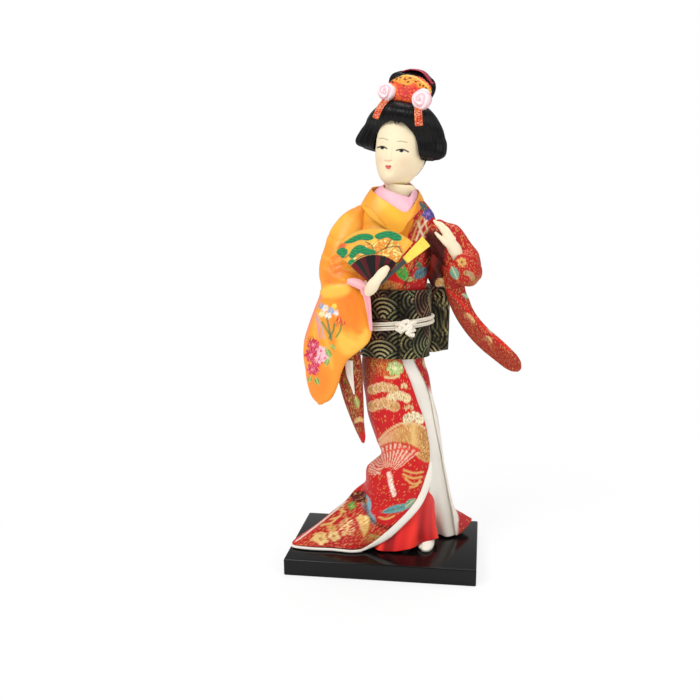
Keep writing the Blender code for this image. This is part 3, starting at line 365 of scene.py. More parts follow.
    def blossom(self, x: float, y: float, size: float, colour: str, heart: str, petals: int = 5,
                gilt: float = 0.2, squash: float = 1.0) -> None:
        """Open flower with round petals and a heart."""
        dx, dy = self.local(x, y, 20)
        dy = dy / squash
        far, turn = np.hypot(dx, dy), np.arctan2(dy, dx)
        reach = size * (0.7 + 0.3 * np.abs(np.cos(petals * turn / 2)))
        mask = np.clip(0.5 + (reach - far), 0, 1)
        self.lay(mask, colour, gilt)
        self.lay(mask * (np.abs(np.sin(petals * turn)) > 0.93) * (far > size * 0.3) * 0.6, heart, gilt)
        self.lay(np.clip(0.5 + size * 0.26 - far, 0, 1), heart, gilt)

    def fan(self, x: float, y: float, near: float, far: tuple[float, float], first: float, last: float,
            ribs: int, dark: str, pale: str, gilt: float = 0.3) -> None:
        """Open pleated fan: its reach runs from one radius to another between two angles in degrees."""
        dx, dy = self.x - x, y - self.y
        turn = np.degrees(np.arctan2(dy, dx)) % 360
        share = np.clip((turn - first) / (last - first), 0, 1)
        reach = far[0] + (far[1] - far[0]) * share
        spread = np.hypot(dx, dy)
        mask = ((turn > first) & (turn < last) & (spread > near)) * np.clip(0.5 + reach - spread, 0, 1)
        self.lay(mask, dark, gilt)
        stripe = np.cos(share * ribs * 2 * math.pi) > -0.1
        self.lay(mask * stripe * (spread < reach * 0.93), pale, gilt)
        self.speckle(mask, 0.12, "#b03a2c")

    def leaf(self, x: float, y: float, length: float, width: float, turn: float, colour: str, vein: str,
             gilt: float = 0.1) -> None:
        """Pointed leaf with a mid vein and side veins."""
        dx, dy = self.local(x, y, turn)
        half = width / 2 * np.clip(1 - (2 * dx / length) ** 2, 0, None)
        mask = np.clip(0.5 + half - np.abs(dy), 0, 1) * (np.abs(dx) < length / 2)
        self.lay(mask, colour, gilt)
        self.lay(mask * (np.abs(np.sin((dx + np.abs(dy)) * 1.5)) > 0.9) * 0.6, vein, gilt)
        self.lay(mask * np.clip(0.9 - np.abs(dy), 0, 1), vein, gilt)

    def waves(self, x: np.ndarray, y: np.ndarray, size: float, mask: np.ndarray) -> None:
        """Overlapping wave scales drawn in beaded gold lines; x and y are millimetres of the cloth."""
        row = np.floor(y / (size / 2))
        far = np.full(x.shape, 9.9)
        bead = np.zeros(x.shape)
        tint = np.zeros(x.shape)
        for step in (-1, 0, 1, 2):
            level = row + step
            column = np.round(x / (2 * size) - (level % 2) / 2)
            dx, dy = x - (column + (level % 2) / 2) * 2 * size, y - level * size / 2
            reach = np.hypot(dx, dy) / size
            new = (far > 1) & (reach < 1)
            far = np.where(new, reach, far)
            bead = np.where(new, np.arctan2(dy, dx) * reach * size, bead)
            tint = np.where(new, (column * 3 + level * 5) % 4, tint)
        line = np.clip((0.25 - np.abs((far * 5.0) % 1 - 0.5)) * 10, 0, 1)
        lit = (0.55 + 0.45 * np.sin(bead * 2 * math.pi)) * np.clip(0.7 + 0.5 * np.sin(x * 0.4 + y * 0.31),
                                                                   0.2, 1)
        for k, colour in enumerate(("#d9cc94", "#9c9058", "#a06c58", "#8a8f62")):
            self.lay(mask * line * (tint == k) * np.clip(lit, 0.12, 1) * (far < 1), colour,
                     0.8 if k < 2 else 0.35)

    def brocade(self, seed: int, wide: float, high: float, pitch: float = 17.0) -> None:
        """Scatter clouds, blossoms, fans and leaves over cloth measured in millimetres."""
        dice = np.random.default_rng(seed)
        for row in range(int(high / pitch) + 1):
            for column in range(int(wide / pitch) + 1):
                x = (column + 0.5 * (row % 2) + dice.uniform(-0.2, 0.2)) * pitch
                y = (row + 0.5 + dice.uniform(-0.2, 0.2)) * pitch
                kind = int(dice.integers(0, 6))
                if kind < 2:
                    self.cloud(x, y, 13, 5.4, ("#dfae70", "#efe0b4")[kind], 0.7,
                               float(dice.uniform(-15, 15)))
                elif kind == 2:
                    self.blossom(x, y, 4.2, "#f0dcb8", "#b4602c", 6, 0.5)
                elif kind == 3:
                    self.fan(x, y + 3, 2.0, (7.5, 7.5), 25, 155, 8, "#c8741f", "#efd9a4", 0.6)
                elif kind == 4:
                    self.leaf(x, y, 9.0, 3.6, float(dice.uniform(0, 180)), "#3f9a5a", "#d8c070")
                else:
                    self.leaf(x, y, 8.0, 3.2, float(dice.uniform(0, 180)), "#4c9aa6", "#e4d49a")
        self.strew(0.05, "#c8863c", 0.7)


def make_mesh(name: str, outer: np.ndarray, inner: np.ndarray | None = None, around: bool = True,
              paint: Paint | None = None) -> bpy.types.Object:
    """Make a closed mesh from one grid with capped ends, or from two grids with a rim between them.

    Args:
        name: Name of the piece.
        outer: Points by row and column, in millimetres.
        inner: Points of the other face, or None for a capped body.
        around: Whether the columns close on themselves.
        paint: Colours of the outer grid's points, which the inner grid shares.

    Returns:
        The object, in place, with a UV map in the cloth's own measure.
    """
    rows, cols = outer.shape[:2]
    total = rows * cols
    wrap = cols if around else cols - 1
    r, c = np.meshgrid(np.arange(rows - 1), np.arange(wrap), indexing="ij")
    d = (c + 1) % cols
    quads = np.stack((r * cols + c, r * cols + d, (r + 1) * cols + d, (r + 1) * cols + c),
                     axis=-1).reshape(-1, 4)
    across = np.linalg.norm(np.roll(outer, -1, axis=1) - outer, axis=-1).mean(axis=0)
    down = np.linalg.norm(np.diff(outer, axis=0), axis=-1).mean(axis=1)
    u = np.concatenate(([0.0], np.cumsum(across)))
    v = np.concatenate(([0.0], np.cumsum(down)))
    place = np.stack((np.stack((u[c], v[r]), -1), np.stack((u[c + 1], v[r]), -1),
                      np.stack((u[c + 1], v[r + 1]), -1), np.stack((u[c], v[r + 1]), -1)),
                     axis=2).reshape(-1, 2)
    points = outer.reshape(-1, 3)
    faces, spots = [quads], [place]
    flip = False
    if inner is None:
        flip = float((normals(outer, around) * (outer - outer.mean(axis=1, keepdims=True))).sum()) < 0
        points = np.concatenate((points, [outer[0].mean(axis=0)], [outer[-1].mean(axis=0)]))
        k = np.arange(cols)
        n = (k + 1) % cols
        end = (rows - 1) * cols
        faces += [np.stack((np.full(cols, total), n, k), axis=-1),
                  np.stack((np.full(cols, total + 1), end + k, end + n), axis=-1)]
        spots += [np.stack((u[k], 0 * u[k]), -1).repeat(3, axis=0),
                  np.stack((u[k], 0 * u[k] + v[-1]), -1).repeat(3, axis=0)]
    else:
        points = np.concatenate((points, inner.reshape(-1, 3)))
        flip = float((normals(outer, around) * (outer - inner)).sum()) < 0
        faces.append(total + quads[:, ::-1])
        spots.append(place.reshape(-1, 4, 2)[:, ::-1].reshape(-1, 2))
        c, d = np.arange(wrap), (np.arange(wrap) + 1) % cols
        end = (rows - 1) * cols
        faces += [np.stack((d, c, total + c, total + d), axis=-1),
                  np.stack((end + c, end + d, total + end + d, total + end + c), axis=-1)]
        spots += [np.stack((u[c], 0 * u[c]), -1).repeat(4, axis=0),
                  np.stack((u[c], 0 * u[c] + v[-1]), -1).repeat(4, axis=0)]
        if not around:
            a, b = np.arange(rows - 1) * cols, np.arange(1, rows) * cols
            faces += [np.stack((a, b, total + b, total + a), axis=-1),
                      np.stack((b + cols - 1, a + cols - 1, total + a + cols - 1, total + b + cols - 1),
                               axis=-1)]
            spots += [np.stack((0 * v[1:], v[1:]), -1).repeat(4, axis=0)] * 2
    if flip:
        faces = [f[:, ::-1] for f in faces]
        spots = [s.reshape(-1, f.shape[1], 2)[:, ::-1].reshape(-1, 2) for s, f in zip(spots, faces)]
    mesh = bpy.data.meshes.new(name)
    corners = np.concatenate([f.reshape(-1) for f in faces])
    sizes = np.concatenate([np.full(len(f), f.shape[1]) for f in faces])
    mesh.vertices.add(len(points))
    mesh.vertices.foreach_set("co", (points * MM).astype(np.float32).ravel())
    mesh.loops.add(len(corners))
    mesh.loops.foreach_set("vertex_index", corners.astype(np.int32))
    mesh.polygons.add(len(sizes))
    mesh.polygons.foreach_set("loop_start", np.concatenate(([0], np.cumsum(sizes)[:-1])).astype(np.int32))
    mesh.update(calc_edges=True)
    mesh.polygons.foreach_set("use_smooth", np.ones(len(sizes), bool))
    layer = mesh.uv_layers.new(name="cut")
    layer.data.foreach_set("uv", (np.concatenate(spots) / UV_SPAN).astype(np.float32).ravel())
    if paint is not None:
        dye = paint.dye.reshape(-1, 3)
        gilt = paint.gilt.reshape(-1)
        if inner is None:
            dye = np.concatenate((dye, dye[:1], dye[-1:]))
            gilt = np.concatenate((gilt, gilt[:1], gilt[-1:]))
        else:
            dye, gilt = np.concatenate((dye, dye)), np.concatenate((gilt, gilt))
        store = mesh.attributes.new("dye", "FLOAT_COLOR", "POINT")
        store.data.foreach_set("color", np.column_stack((dye, np.ones(len(dye)))).astype(np.float32).ravel())
        thread = mesh.attributes.new("gilt", "FLOAT", "POINT")
        thread.data.foreach_set("value", gilt.astype(np.float32))
    mesh.validate()
    made = bpy.data.objects.new(name, mesh)
    bpy.context.scene.collection.objects.link(made)
    return made


def joined(name: str, parts: list[bpy.types.Object]) -> bpy.types.Object:
    """Join the forms of one moulding or knot into one object of that name."""
    bpy.ops.object.select_all(action="DESELECT")
    for one in parts:
        one.select_set(True)
    piece = parts[0]
    bpy.context.view_layer.objects.active = piece
    bpy.ops.object.join()
    piece.name = piece.data.name = name
    return piece


def place_piece(piece: bpy.types.Object, finish: "Finish", slot: str, *nodes: str) -> bpy.types.Object:
    """Dress a finished piece, set it on the figure and report it.

    Args:
        piece: The modelled object.
        finish: Its material.
        slot: The record's material slot; not used.
        nodes: The solids that it stands for.

    Returns:
        The same object.
    """
    piece.data.materials.clear()
    piece.data.materials.append(finish.material())
    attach(piece, "root")
    if nodes:
        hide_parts(*nodes)
    LOG.info("%s: %d faces", piece.name, len(piece.data.polygons))
    return piece


def add_node(tree: bpy.types.NodeTree, kind: str, settings: dict | None = None,
             links: dict | None = None) -> bpy.types.Node:
    """Add a node with its settings and links.

    Args:
        tree: The material's or world's nodes.
        kind: Node type, without the word Shader before its name.
        settings: Properties or input values by name or number.
        links: Output sockets by input name or number.

    Returns:
        The new node.
    """
    made = tree.nodes.new(f"ShaderNode{kind}")
    for name, value in (settings or {}).items():
        if isinstance(name, int) or name in made.inputs:
            made.inputs[name].default_value = value
        else:
            setattr(made, name, value)
    for name, source in (links or {}).items():
        tree.links.new(source, made.inputs[name])
    return made


class Relief(Enum):
    """How a surface was made, which sets its fine relief."""

    SATIN = "float-woven, smooth to the eye with a soft sheen"
    BROCADE = "figured weave with floated gilt threads"
    COMBED = "bundles of combed, waxed fibre"
    POURED = "smooth poured or brushed coat"
    TWISTED = "twisted silk strands"
    SMOOTH = "moulded or drawn"


@dataclass(frozen=True)
class Finish:
    """One material, built from what the real one is."""

    name: str
    relief: Relief
    colour: str = ""
    roughness: float = 0.5
    specular: float = 0.5
    metallic: float = 0.0
    sheen: float = 0.0
    coat: float = 0.0
    bump: float = 0.1
    grain: float = 1.0
    mottle: float = 0.08
    gold: str = "#d8ad5c"

    def material(self) -> bpy.types.Material:
        """Build the material, or find it if it was built before."""
        found = bpy.data.materials.get(self.name)
        if found:
            return found
        made = bpy.data.materials.new(self.name)
        made.use_nodes = True
        tree = made.node_tree
        shader = tree.nodes["Principled BSDF"]
        for socket, value in (("Roughness", self.roughness), ("Specular IOR Level", self.specular),
                              ("Metallic", self.metallic), ("Sheen Weight", self.sheen),
                              ("Sheen Roughness", 0.4), ("Coat Weight", self.coat),
                              ("Coat Roughness", 0.12)):
            shader.inputs[socket].default_value = value
        if self.colour:
            where = add_node(tree, "TexCoord").outputs["Object"]
            scale = 1000.0
        else:
            where = add_node(tree, "UVMap", {"uv_map": "cut"}).outputs[0]
            scale = UV_SPAN
        colour = self.ground(tree)
        # uneven dye and handling, in patches of about six millimetres
        patch = add_node(tree, "TexNoise", {"Scale": scale / 6.0, "Detail": 3.0}, {"Vector": where})
        shade = add_node(tree, "MapRange", {"To Min": 1 - self.mottle, "To Max": 1 + self.mottle},
                         {"Value": patch.outputs[0]})
        tone = add_node(tree, "VectorMath", {"operation": "SCALE"},
                        {0: colour, "Scale": shade.outputs[0]}).outputs[0]
        stretch = {Relief.SATIN: (0.35, 2.4), Relief.BROCADE: (1.5, 0.45), Relief.COMBED: (0.32, 9.0),
                   Relief.POURED: (1.2, 1.2), Relief.TWISTED: (0.5, 0.5),
                   Relief.SMOOTH: (0.8, 0.8)}[self.relief]
        # thread floats, fibre bundles or brush marks: width and length of one mark in millimetres
        wide, long = (scale / (s * self.grain) for s in stretch)
        fit = add_node(tree, "Mapping", {"Scale": (wide, long, wide)}, {"Vector": where})
        mark = add_node(tree, "TexNoise", {"Scale": 1.0, "Detail": 2.0}, {"Vector": fit.outputs[0]})
        height = mark.outputs[0]
        if self.relief is Relief.BROCADE:
            thread = add_node(tree, "Attribute", {"attribute_name": "gilt"}).outputs["Fac"]
            float_mask = add_node(tree, "MapRange", {"From Min": 0.42, "From Max": 0.6}, {"Value": height})
            share = add_node(tree, "Math", {"operation": "MULTIPLY"},
                             {0: thread, 1: float_mask.outputs[0]}).outputs[0]
            tone = add_node(tree, "Mix", {"data_type": "RGBA", 7: (*linear(self.gold), 1)},
                            {0: share, 6: tone}).outputs[2]
            gleam = add_node(tree, "Math", {"operation": "MULTIPLY", 1: 0.55}, {0: share}).outputs[0]
            tree.links.new(gleam, shader.inputs["Metallic"])
        tree.links.new(tone, shader.inputs["Base Color"])
        rough = add_node(tree, "MapRange",
                         {"To Min": self.roughness * 0.82, "To Max": min(1.0, self.roughness * 1.18)},
                         {"Value": height})
        tree.links.new(rough.outputs[0], shader.inputs["Roughness"])
        relief = add_node(tree, "Bump", {"Strength": self.bump, "Distance": 0.0003}, {"Height": height})
        tree.links.new(relief.outputs[0], shader.inputs["Normal"])
        return made

    def ground(self, tree: bpy.types.NodeTree) -> bpy.types.NodeSocket:
        """Output that carries the ground colour: the painted points, or one colour."""
        if not self.colour:
            return add_node(tree, "Attribute", {"attribute_name": "dye"}).outputs["Color"]
        made = add_node(tree, "RGB")
        made.outputs[0].default_value = (*linear(self.colour), 1)
        return made.outputs[0]


# polyester satin: long floats give broad soft highlights
SATIN = Finish("printed_satin", Relief.SATIN, roughness=0.4, specular=0.35, bump=0.12, mottle=0.05)
# figured brocade: red satin ground with floated gilt thread
BROCADE = Finish("gilt_brocade", Relief.BROCADE, roughness=0.45, specular=0.22, bump=0.35, mottle=0.12)
# black sash brocade: dull ground, beaded gilt lines
SASH_CLOTH = Finish("waved_brocade", Relief.BROCADE, roughness=0.5, specular=0.12, bump=0.4, mottle=0.12,
                    gold="#d6c68c")
# white rayon lining satin
LINING = Finish("lining_satin", Relief.SATIN, roughness=0.46, specular=0.3, bump=0.14, mottle=0.03)
# composition head with brushed shell-white coat, matt as an eggshell
GOFUN = Finish("shell_white_coat", Relief.POURED, roughness=0.56, specular=0.25, bump=0.03, mottle=0.015)
# waxed nylon wig fibre, combed and set
HAIR = Finish("waxed_fibre", Relief.COMBED, roughness=0.26, specular=0.17, bump=0.4, grain=1.0, mottle=0.1)
# twisted cream silk cord
SILK_CORD = Finish("twisted_silk", Relief.TWISTED, roughness=0.62, specular=0.3, sheen=0.2, bump=0.3,
                   mottle=0.06)
# coated fan paper, printed
PAPER = Finish("printed_paper", Relief.POURED, roughness=0.5, specular=0.4, bump=0.05, mottle=0.03)
# urethane lacquer on fibreboard: deep black, mirror-like with a little orange peel
LACQUER = Finish("black_lacquer", Relief.POURED, "#0b0b0c", roughness=0.16, specular=0.25, bump=0.02,
                 grain=2.2, mottle=0.2)
# dyed and lacquered bamboo ribs
RIB_WOOD = Finish("lacquered_bamboo", Relief.SMOOTH, roughness=0.32, specular=0.3, bump=0.1, grain=0.5,
                  mottle=0.2)
BRASS = Finish("brass_rivet", Relief.SMOOTH, "#c9a052", roughness=0.3, metallic=1.0, bump=0.03, mottle=0.08)
STEEL_WIRE = Finish("annealed_wire", Relief.SMOOTH, "#6f7072", roughness=0.4, metallic=1.0, bump=0.05,
                    mottle=0.12)
FOAM = Finish("pressed_foam", Relief.POURED, "#d8cfae", roughness=0.9, specular=0.2, bump=0.6, grain=0.6,
              mottle=0.08)
COTTON = Finish("sock_cotton", Relief.TWISTED, "#efe9da", roughness=0.85, specular=0.2, sheen=0.15, bump=0.3,
                mottle=0.04)


@dataclass
class Board:
    """Lacquered display board with softly rounded edges."""

    width: float = 95.0
    depth: float = 62.0
    height: float = 8.65
    edge: float = 0.7

    def build(self) -> None:
        """Shape the board from a block with bevelled edges."""
        bpy.ops.object.select_all(action="DESELECT")
        bpy.ops.mesh.primitive_cube_add(size=1, location=(0, 0, self.height / 2 * MM),
                                        scale=(self.width * MM, self.depth * MM, self.height * MM))
        board = bpy.context.object
        board.name = "lacquered_board"
        bpy.ops.object.transform_apply(location=True, rotation=True, scale=True)
        bpy.ops.object.mode_set(mode="EDIT")
        bpy.ops.mesh.select_all(action="SELECT")
        bpy.ops.mesh.bevel(offset=self.edge * MM, segments=4, affect="EDGES")
        bpy.ops.object.mode_set(mode="OBJECT")
        bpy.ops.object.shade_smooth_by_angle(angle=math.radians(40))
        place_piece(board, LACQUER, "board", "board")


# rings of the hips: height, middle across and in depth, half width, half depth
HIPS = (
    (112, 3.7, 3.3, 14.8, 10.9), (104, 2.8, 3.4, 15.6, 11.0), (95, 4.2, 3.6, 16.9, 12.2),
    (85, 5.8, 3.9, 17.0, 13.0), (75, 8.0, 3.8, 17.8, 13.2), (62, 11.2, 3.4, 16.6, 12.8))

# folds in the train: path, width and height of the fold
TRAIN_FOLDS = (
    ([(363, 494), (365, 508), (371, 520), (383, 528)], 7, -1.1),
    ([(357, 500), (352, 515), (341, 528), (326, 541)], 8, 0.7),
    ([(366, 523), (356, 534), (350, 546)], 7, 0.6), ([(373, 522), (368, 536), (366, 548)], 6, -0.5),
    ([(369, 462), (379, 456), (390, 455)], 6, -0.5), ([(371, 478), (366, 490)], 7, 0.5),
    ([(388, 528), (402, 516), (412, 500)], 9, 0.5))

# pale sprigs on the train's right end: path, width, colour, gold
TRAIN_SPRIGS = (
    ([(455, 518), (462, 528), (471, 537)], 1.5, "#e6c27a", 0.8),
    ([(454, 526), (460, 533), (466, 538)], 1.4, "#f1e6d0", 0.2),
    ([(458, 514), (466, 524), (473, 535)], 1.2, "#f2eadb", 0.1))

# front of the robe below the sash: painted shade where it turns away, a green blossom and clouds
ROBE_TOP = (
    ("wash", "shape", ([(357, 356), (376, 356), (377, 372), (370, 386), (360, 380)], 8), 0.7, "#7d1212",
     0.3),
    ("stitches", "shape", ([(374, 357), (400, 357), (398, 372), (384, 376), (372, 368)], 4), 0.3,
     "#c07a34", 0.9),
    ("blossom", 395, 368.5, 9, "#7fb553", "#e8ebb0", 7, 0.3, 0.9),
    ("stitches", "disc", (395, 368.5, 8, 7), 0.3, "#f0f0c4", 0.2),
    ("wash", "stroke", ([(385, 377), (392, 378), (399, 376)], 2), 1, "#e5d39a", 0.6),
    ("cloud", 383, 388.5, 28, 11, "#d99a62", 0.8), ("cloud", 398.5, 397, 22, 11, "#eedca6", 0.6),
    ("cloud", 383.5, 405, 29, 12.5, "#d9935a", 0.8), ("cloud", 413.5, 418, 19, 11.5, "#f1e7c4", 0.5),
    ("cloud", 404, 386, 6, 5, "#e8d29a", 0.7), ("cloud", 409, 407.5, 8, 4, "#e8c88a", 0.7))

# stitched edge of the gold band, and the large fan with its handle
ROBE_FAN = (
    ("wash", "stroke", ([(379, 440), (388, 431), (400, 424), (414, 423), (425, 428)], 1.6), 1, "#e9d3a0",
     0.8),
    ("fan", 389, 476, 9, (41, 21), 38, 176, 17, "#c92622", "#e9b8a8", 0.2),
    ("wash", "stroke", ([(367.5, 466), (374, 458), (386, 452), (400, 449), (418, 449)], 1.6), 1,
     "#d8302a", 0.1),
    ("wash", "stroke", ([(389, 474), (391, 484), (394, 494.5)], 4.4), 1, "#eab9a6", 0.3),
    ("stitches", "stroke", ([(389, 474), (391, 484), (394, 494.5)], 5), 0.3, "#ffffff"))

# leaves round the knee, where the train begins
ROBE_LEAVES = (
    ("leaf", 397, 508.5, 34, 7.5, -14, "#58a4a6", "#1f4a55"),
    ("leaf", 410, 503, 14, 7, -40, "#3f8f86", "#d9c98a"),
    ("wash", "stroke", ([(379, 517), (386, 519), (394, 516)], 1.4), 1, "#e5bc70", 0.8),
    ("leaf", 366, 503, 22, 10, 74, "#7fb8cc", "#24506a"),
    ("leaf", 371, 518, 16, 7, 58, "#74b4c2", "#24506a"),
    ("blossom", 365, 500, 3.2, "#9e2c26", "#e4c27a", 5, 0.4))

# painted shade in the train's deepest folds, a green blossom and gold ones
TRAIN_ART = (
    ("wash", "stroke", ([(363, 493), (365, 508), (371, 520), (384, 528), (392, 526)], 2.6, 2.6), 0.85,
     "#3d0608"),
    ("wash", "shape", ([(350, 494), (358, 491), (365, 492), (364, 500), (358, 503), (352, 500)], 2), 0.85,
     "#3a0709"),
    ("blossom", 352, 506, 4.6, "#2f8a34", "#a9c860", 4, 0.1),
    ("blossom", 320.5, 539, 8.5, "#e6c98c", "#8c3a1c", 5, 0.7, 0.7),
    ("blossom", 334, 536, 6.5, "#e9cf96", "#8c3a1c", 5, 0.7, 0.8),
    ("blossom", 332, 528, 5.5, "#d99a5c", "#7c2c18", 6, 0.8, 0.7))

# small fan, pale hem line and stitches of the train
TRAIN_END = (
    ("fan", 354, 512, 6, (27, 14), 292, 345, 9, "#c99544", "#f0dca0", 0.8),
    ("wash", "stroke", ([(296, 541), (303, 536), (322, 521.5), (340, 506.5), (346, 501.5)], 1.2), 1,
     "#e8d8cc"),
    ("stitches", "disc", (347, 527, 8, 9), 0.3, "#ecd8a8", 0.8),
    ("stitches", "disc", (373, 538, 8, 4), 0.35, "#8fae52", 0.3))


@dataclass
class Skirt:
    """Trailing robe skirt, its white lining and padded hem, and the plain under-skirt."""

    cloth: float = 0.5
    rows: int = 176
    columns: int = 250
    front_columns: int = 155
    front_end: float = 4.3

    def table(self) -> np.ndarray:
        """Outline points: rows run down, stations run from the over-panel's edge round to the lining."""
        edge_x = ((112, 6.5), (104, 8.8), (95, 12.7), (85, 16.2), (75, 19.8), (62, 22.4))
        lining_x = ((112, 12.0), (104, 15.0), (95, 19.4), (85, 22.4), (75, 24.6), (62, 27.2))
        lines = []
        for (z, x, y, a, b), (_, front), (_, white) in zip(HIPS, edge_x, lining_x):
            first = -math.degrees(math.asin((front - x) / a))
            right = 360 - math.degrees(math.asin(min((white - x) / a, 0.985)))
            left = 360 - math.degrees(math.asin((front - 1.6 - x) / a))
            turns = [first, *(first + (90 - first) * k / 4 for k in (1, 2, 3)), 90, 120, 150, 180, 210, 240,
                     262, right, left]
            lines.append([(x - a * math.sin(math.radians(t)), y - b * math.cos(math.radians(t)), z) for t
                          in turns])
        lines += [
            [(22.6, -9.8, 55), (17, -12.8, 55), (8, -12.5, 55), (1, -8.5, 55), (-2.8, 0, 55), (-2, 7, 55),
             (3, 12.5, 55), (9, 15, 55), (15, 15.3, 55), (22.5, 12.8, 55), (27.6, 7.5, 55), (28.4, 2.5, 55),
             (22.6, -8.6, 55)],
            [(20.8, -11.5, 48), (14, -14.2, 48), (4, -14, 48), (-5, -9.5, 48), (-9.8, 0, 48), (-8.5, 7, 48),
             (-2, 13, 48), (6, 15.8, 48), (14, 16, 48), (23, 13.2, 48), (28.8, 7.5, 48), (29.6, 2.5, 48),
             (23.4, -8.2, 48)],
            [(18.3, -12.5, 40), (12, -14.8, 40), (1, -14.5, 40), (-7, -9.5, 40), (-10.8, 0, 40),
             (-9.5, 7, 40), (-3, 13.5, 40), (6, 16.5, 40), (14, 16.5, 40), (24, 13.5, 40), (30.2, 8, 40),
             (31.2, 3, 40), (23.6, -7.4, 40)],
            [(14, -14.5, 33), (8, -15.3, 33), (-1, -14, 33), (-8, -9.5, 33), (-13.6, -1, 33), (-17.5, 5, 33),
             (-11, 13, 33), (0, 16.8, 33), (11, 17.5, 33), (23, 15, 33), (31.2, 9, 33), (32.4, 3.5, 33),
             (22.2, -5.6, 33)],
            [(6, -15.8, 24), (0, -16.4, 24), (-8, -15.2, 24), (-17, -11.5, 24), (-27, -4, 24), (-24, 5, 24),
             (-16, 13, 24), (-3, 18.4, 24), (10, 20, 24), (25, 18, 24), (34, 12, 24), (34.2, 5, 24),
             (20.6, -1, 24)],
            [(-2.5, -17, 16), (-10, -18, 16), (-19, -17, 16), (-29, -15, 16), (-37, -9, 16), (-35, 0, 16),
             (-24, 12, 16), (-8, 21, 16), (10, 23.5, 16), (28, 22, 16.5), (40, 17, 18), (35.4, 6, 16),
             (21.6, 3.6, 16)],
            [(-9, -17.5, 10.9), (-15, -19.8, 10.9), (-25, -19, 10.9), (-37, -19.2, 10.9),
             (-46.2, -16.6, 10.9), (-43.5, -5, 10.9), (-31, 13, 10.9), (-10, 24.5, 10.9), (14, 27.5, 10.9),
             (34, 26, 11.5), (44.2, 20.5, 14), (36.4, 6.2, 10.0), (24, 5.2, 9.8)],
        ]
        return np.array(lines)

    def points(self, rows: np.ndarray, stations: np.ndarray) -> np.ndarray:
        """Points of the skirt's outer face by row and station."""
        lines = spline(self.table().transpose(1, 0, 2), stations).transpose(1, 0, 2)
        return spline(lines, rows)

    def build(self) -> None:
        """Model and dress the four pieces."""
        self.outer()
        self.lining()
        self.hem()
        self.under()

    def outer(self) -> None:
        """Brocade skirt with its train; the front is woven with clouds, a fan and leaves."""
        last = len(self.table()) - 1
        rows = np.linspace(0, last, self.rows)
        stations = np.concatenate((np.linspace(0, self.front_end, self.front_columns, endpoint=False),
                                   np.linspace(self.front_end, 11.0, self.columns - self.front_columns)))
        grid = self.points(rows, stations)
        out = outward(grid, False)
        px, py = seen(grid)
        fold = Paint(px, py, "#000000")
        drop = np.zeros(px.shape)
        seen_side = (stations < 5.0)[None, :] * np.ones(px.shape)
        for path, width, depth in TRAIN_FOLDS:
            drop += depth * fold.stroke(path, width * 0.3, width) * seen_side
        grid = grid + out * drop[..., None]
        back_u = np.concatenate(([0.0],
                                 np.cumsum(np.linalg.norm(np.diff(grid, axis=1), axis=-1).mean(axis=0))))
        back_v = np.concatenate(([0.0],
                                 np.cumsum(np.linalg.norm(np.diff(grid, axis=0), axis=-1).mean(axis=1))))
        u, v = np.meshgrid(back_u, back_v)
        plain = Paint(u, v, "#b5141a", 3)
        plain.brocade(11, float(back_u[-1]), float(back_v[-1]))
        paint = Paint(px, py, "#c4161b", 4)
        self.artwork(paint)
        lit = facing(grid, out) * (stations < 5.2)[None, :]
        paint.under(plain, lit)
        # the white lining goes on past the opening and round the right side, below a red top
        near = np.interp(rows, (9.0, 11.0, 12.0), (10.0, 10.75, 10.9))[:, None]
        turned = np.clip((stations[None, :] - near) / 0.1, 0, 1) * np.clip((rows - 2.3) / 0.5, 0, 1)[:, None]
        paint.lay(turned, "#ece4d8")
        # darker stripes across the lining are painted shade of its folds
        paint.lay(turned * (0.5 + 0.5 * np.sin(stations * 9.0 + 1.0))[None, :] * 0.35, "#cfc2b2")
        train = ((stations > 8.2) & (stations < 10.2))[None, :] * facing(grid, out)
        for path, width, colour, gilt in TRAIN_SPRIGS:
            paint.lay(paint.stroke(path, width) * train, colour, gilt)
        inner = grid - out * self.cloth
        piece = make_mesh("robe_skirt", grid, inner, False, paint)
        place_piece(piece, BROCADE, "red_brocade", "kimono_skirt")

    def artwork(self, paint: Paint) -> None:
        """Motifs woven down the front, placed as they are seen."""
        paint.draw(ROBE_TOP)
        band = paint.shape([(376, 448), (383, 438), (392, 431), (403, 425), (414, 424), (424, 429),
                            (430, 440), (431, 455), (428, 462), (420, 459), (410, 450), (398, 450),
                            (386, 455), (377, 458)], 1.6)
        # gold band, pinker to the left and browner to the right, with a painted highlight running down it
        paint.lay(band, "#c47c48", 0.55)
        paint.lay(band * np.clip((400 - paint.x) / 14, 0, 1) * 0.9, "#dfa08a", 0.35)
        paint.lay(band * np.clip((paint.x - 416) / 10, 0, 1) * 0.9, "#93572a", 0.45)
        paint.lay(band * np.exp(-((paint.x - 413.5) / 3.2) ** 2) * 0.8, "#f0cf86", 0.5)
        paint.speckle(band, 0.2, "#efc48a", 0.7)
        paint.draw(ROBE_FAN)
        for path in ([(403, 474), (412, 478), (422, 477)], [(405, 478), (413, 484), (421, 482)],
                     [(410, 487), (416, 486), (420, 480)], [(404, 470), (414, 473), (423, 472)]):
            paint.lay(paint.stroke(path, 1.5), "#e3b56c", 0.8)
        paint.draw(ROBE_LEAVES)
        dark = paint.shape([(300, 552), (296, 546), (318, 524), (340, 502), (352, 493), (364, 496),
                            (366, 512), (372, 522), (384, 529), (378, 552)], 5)
        paint.lay(dark * 0.55, "#9d1219")
        paint.draw(TRAIN_ART)
        for path in ([(338, 517), (331, 523), (321, 525)], [(343, 506), (340, 516), (331, 519)],
                     [(345, 512), (337, 509)], [(343, 535), (348, 528), (346, 518)],
                     [(311, 540), (319, 533), (326, 534)]):
            paint.lay(paint.stroke(path, 1.5), "#deb877", 0.8)
        paint.draw(TRAIN_END)
        paint.speckle(dark, 0.08, "#d49a52", 0.8)
        paint.strew(0.03, "#d8a25c", 0.8)

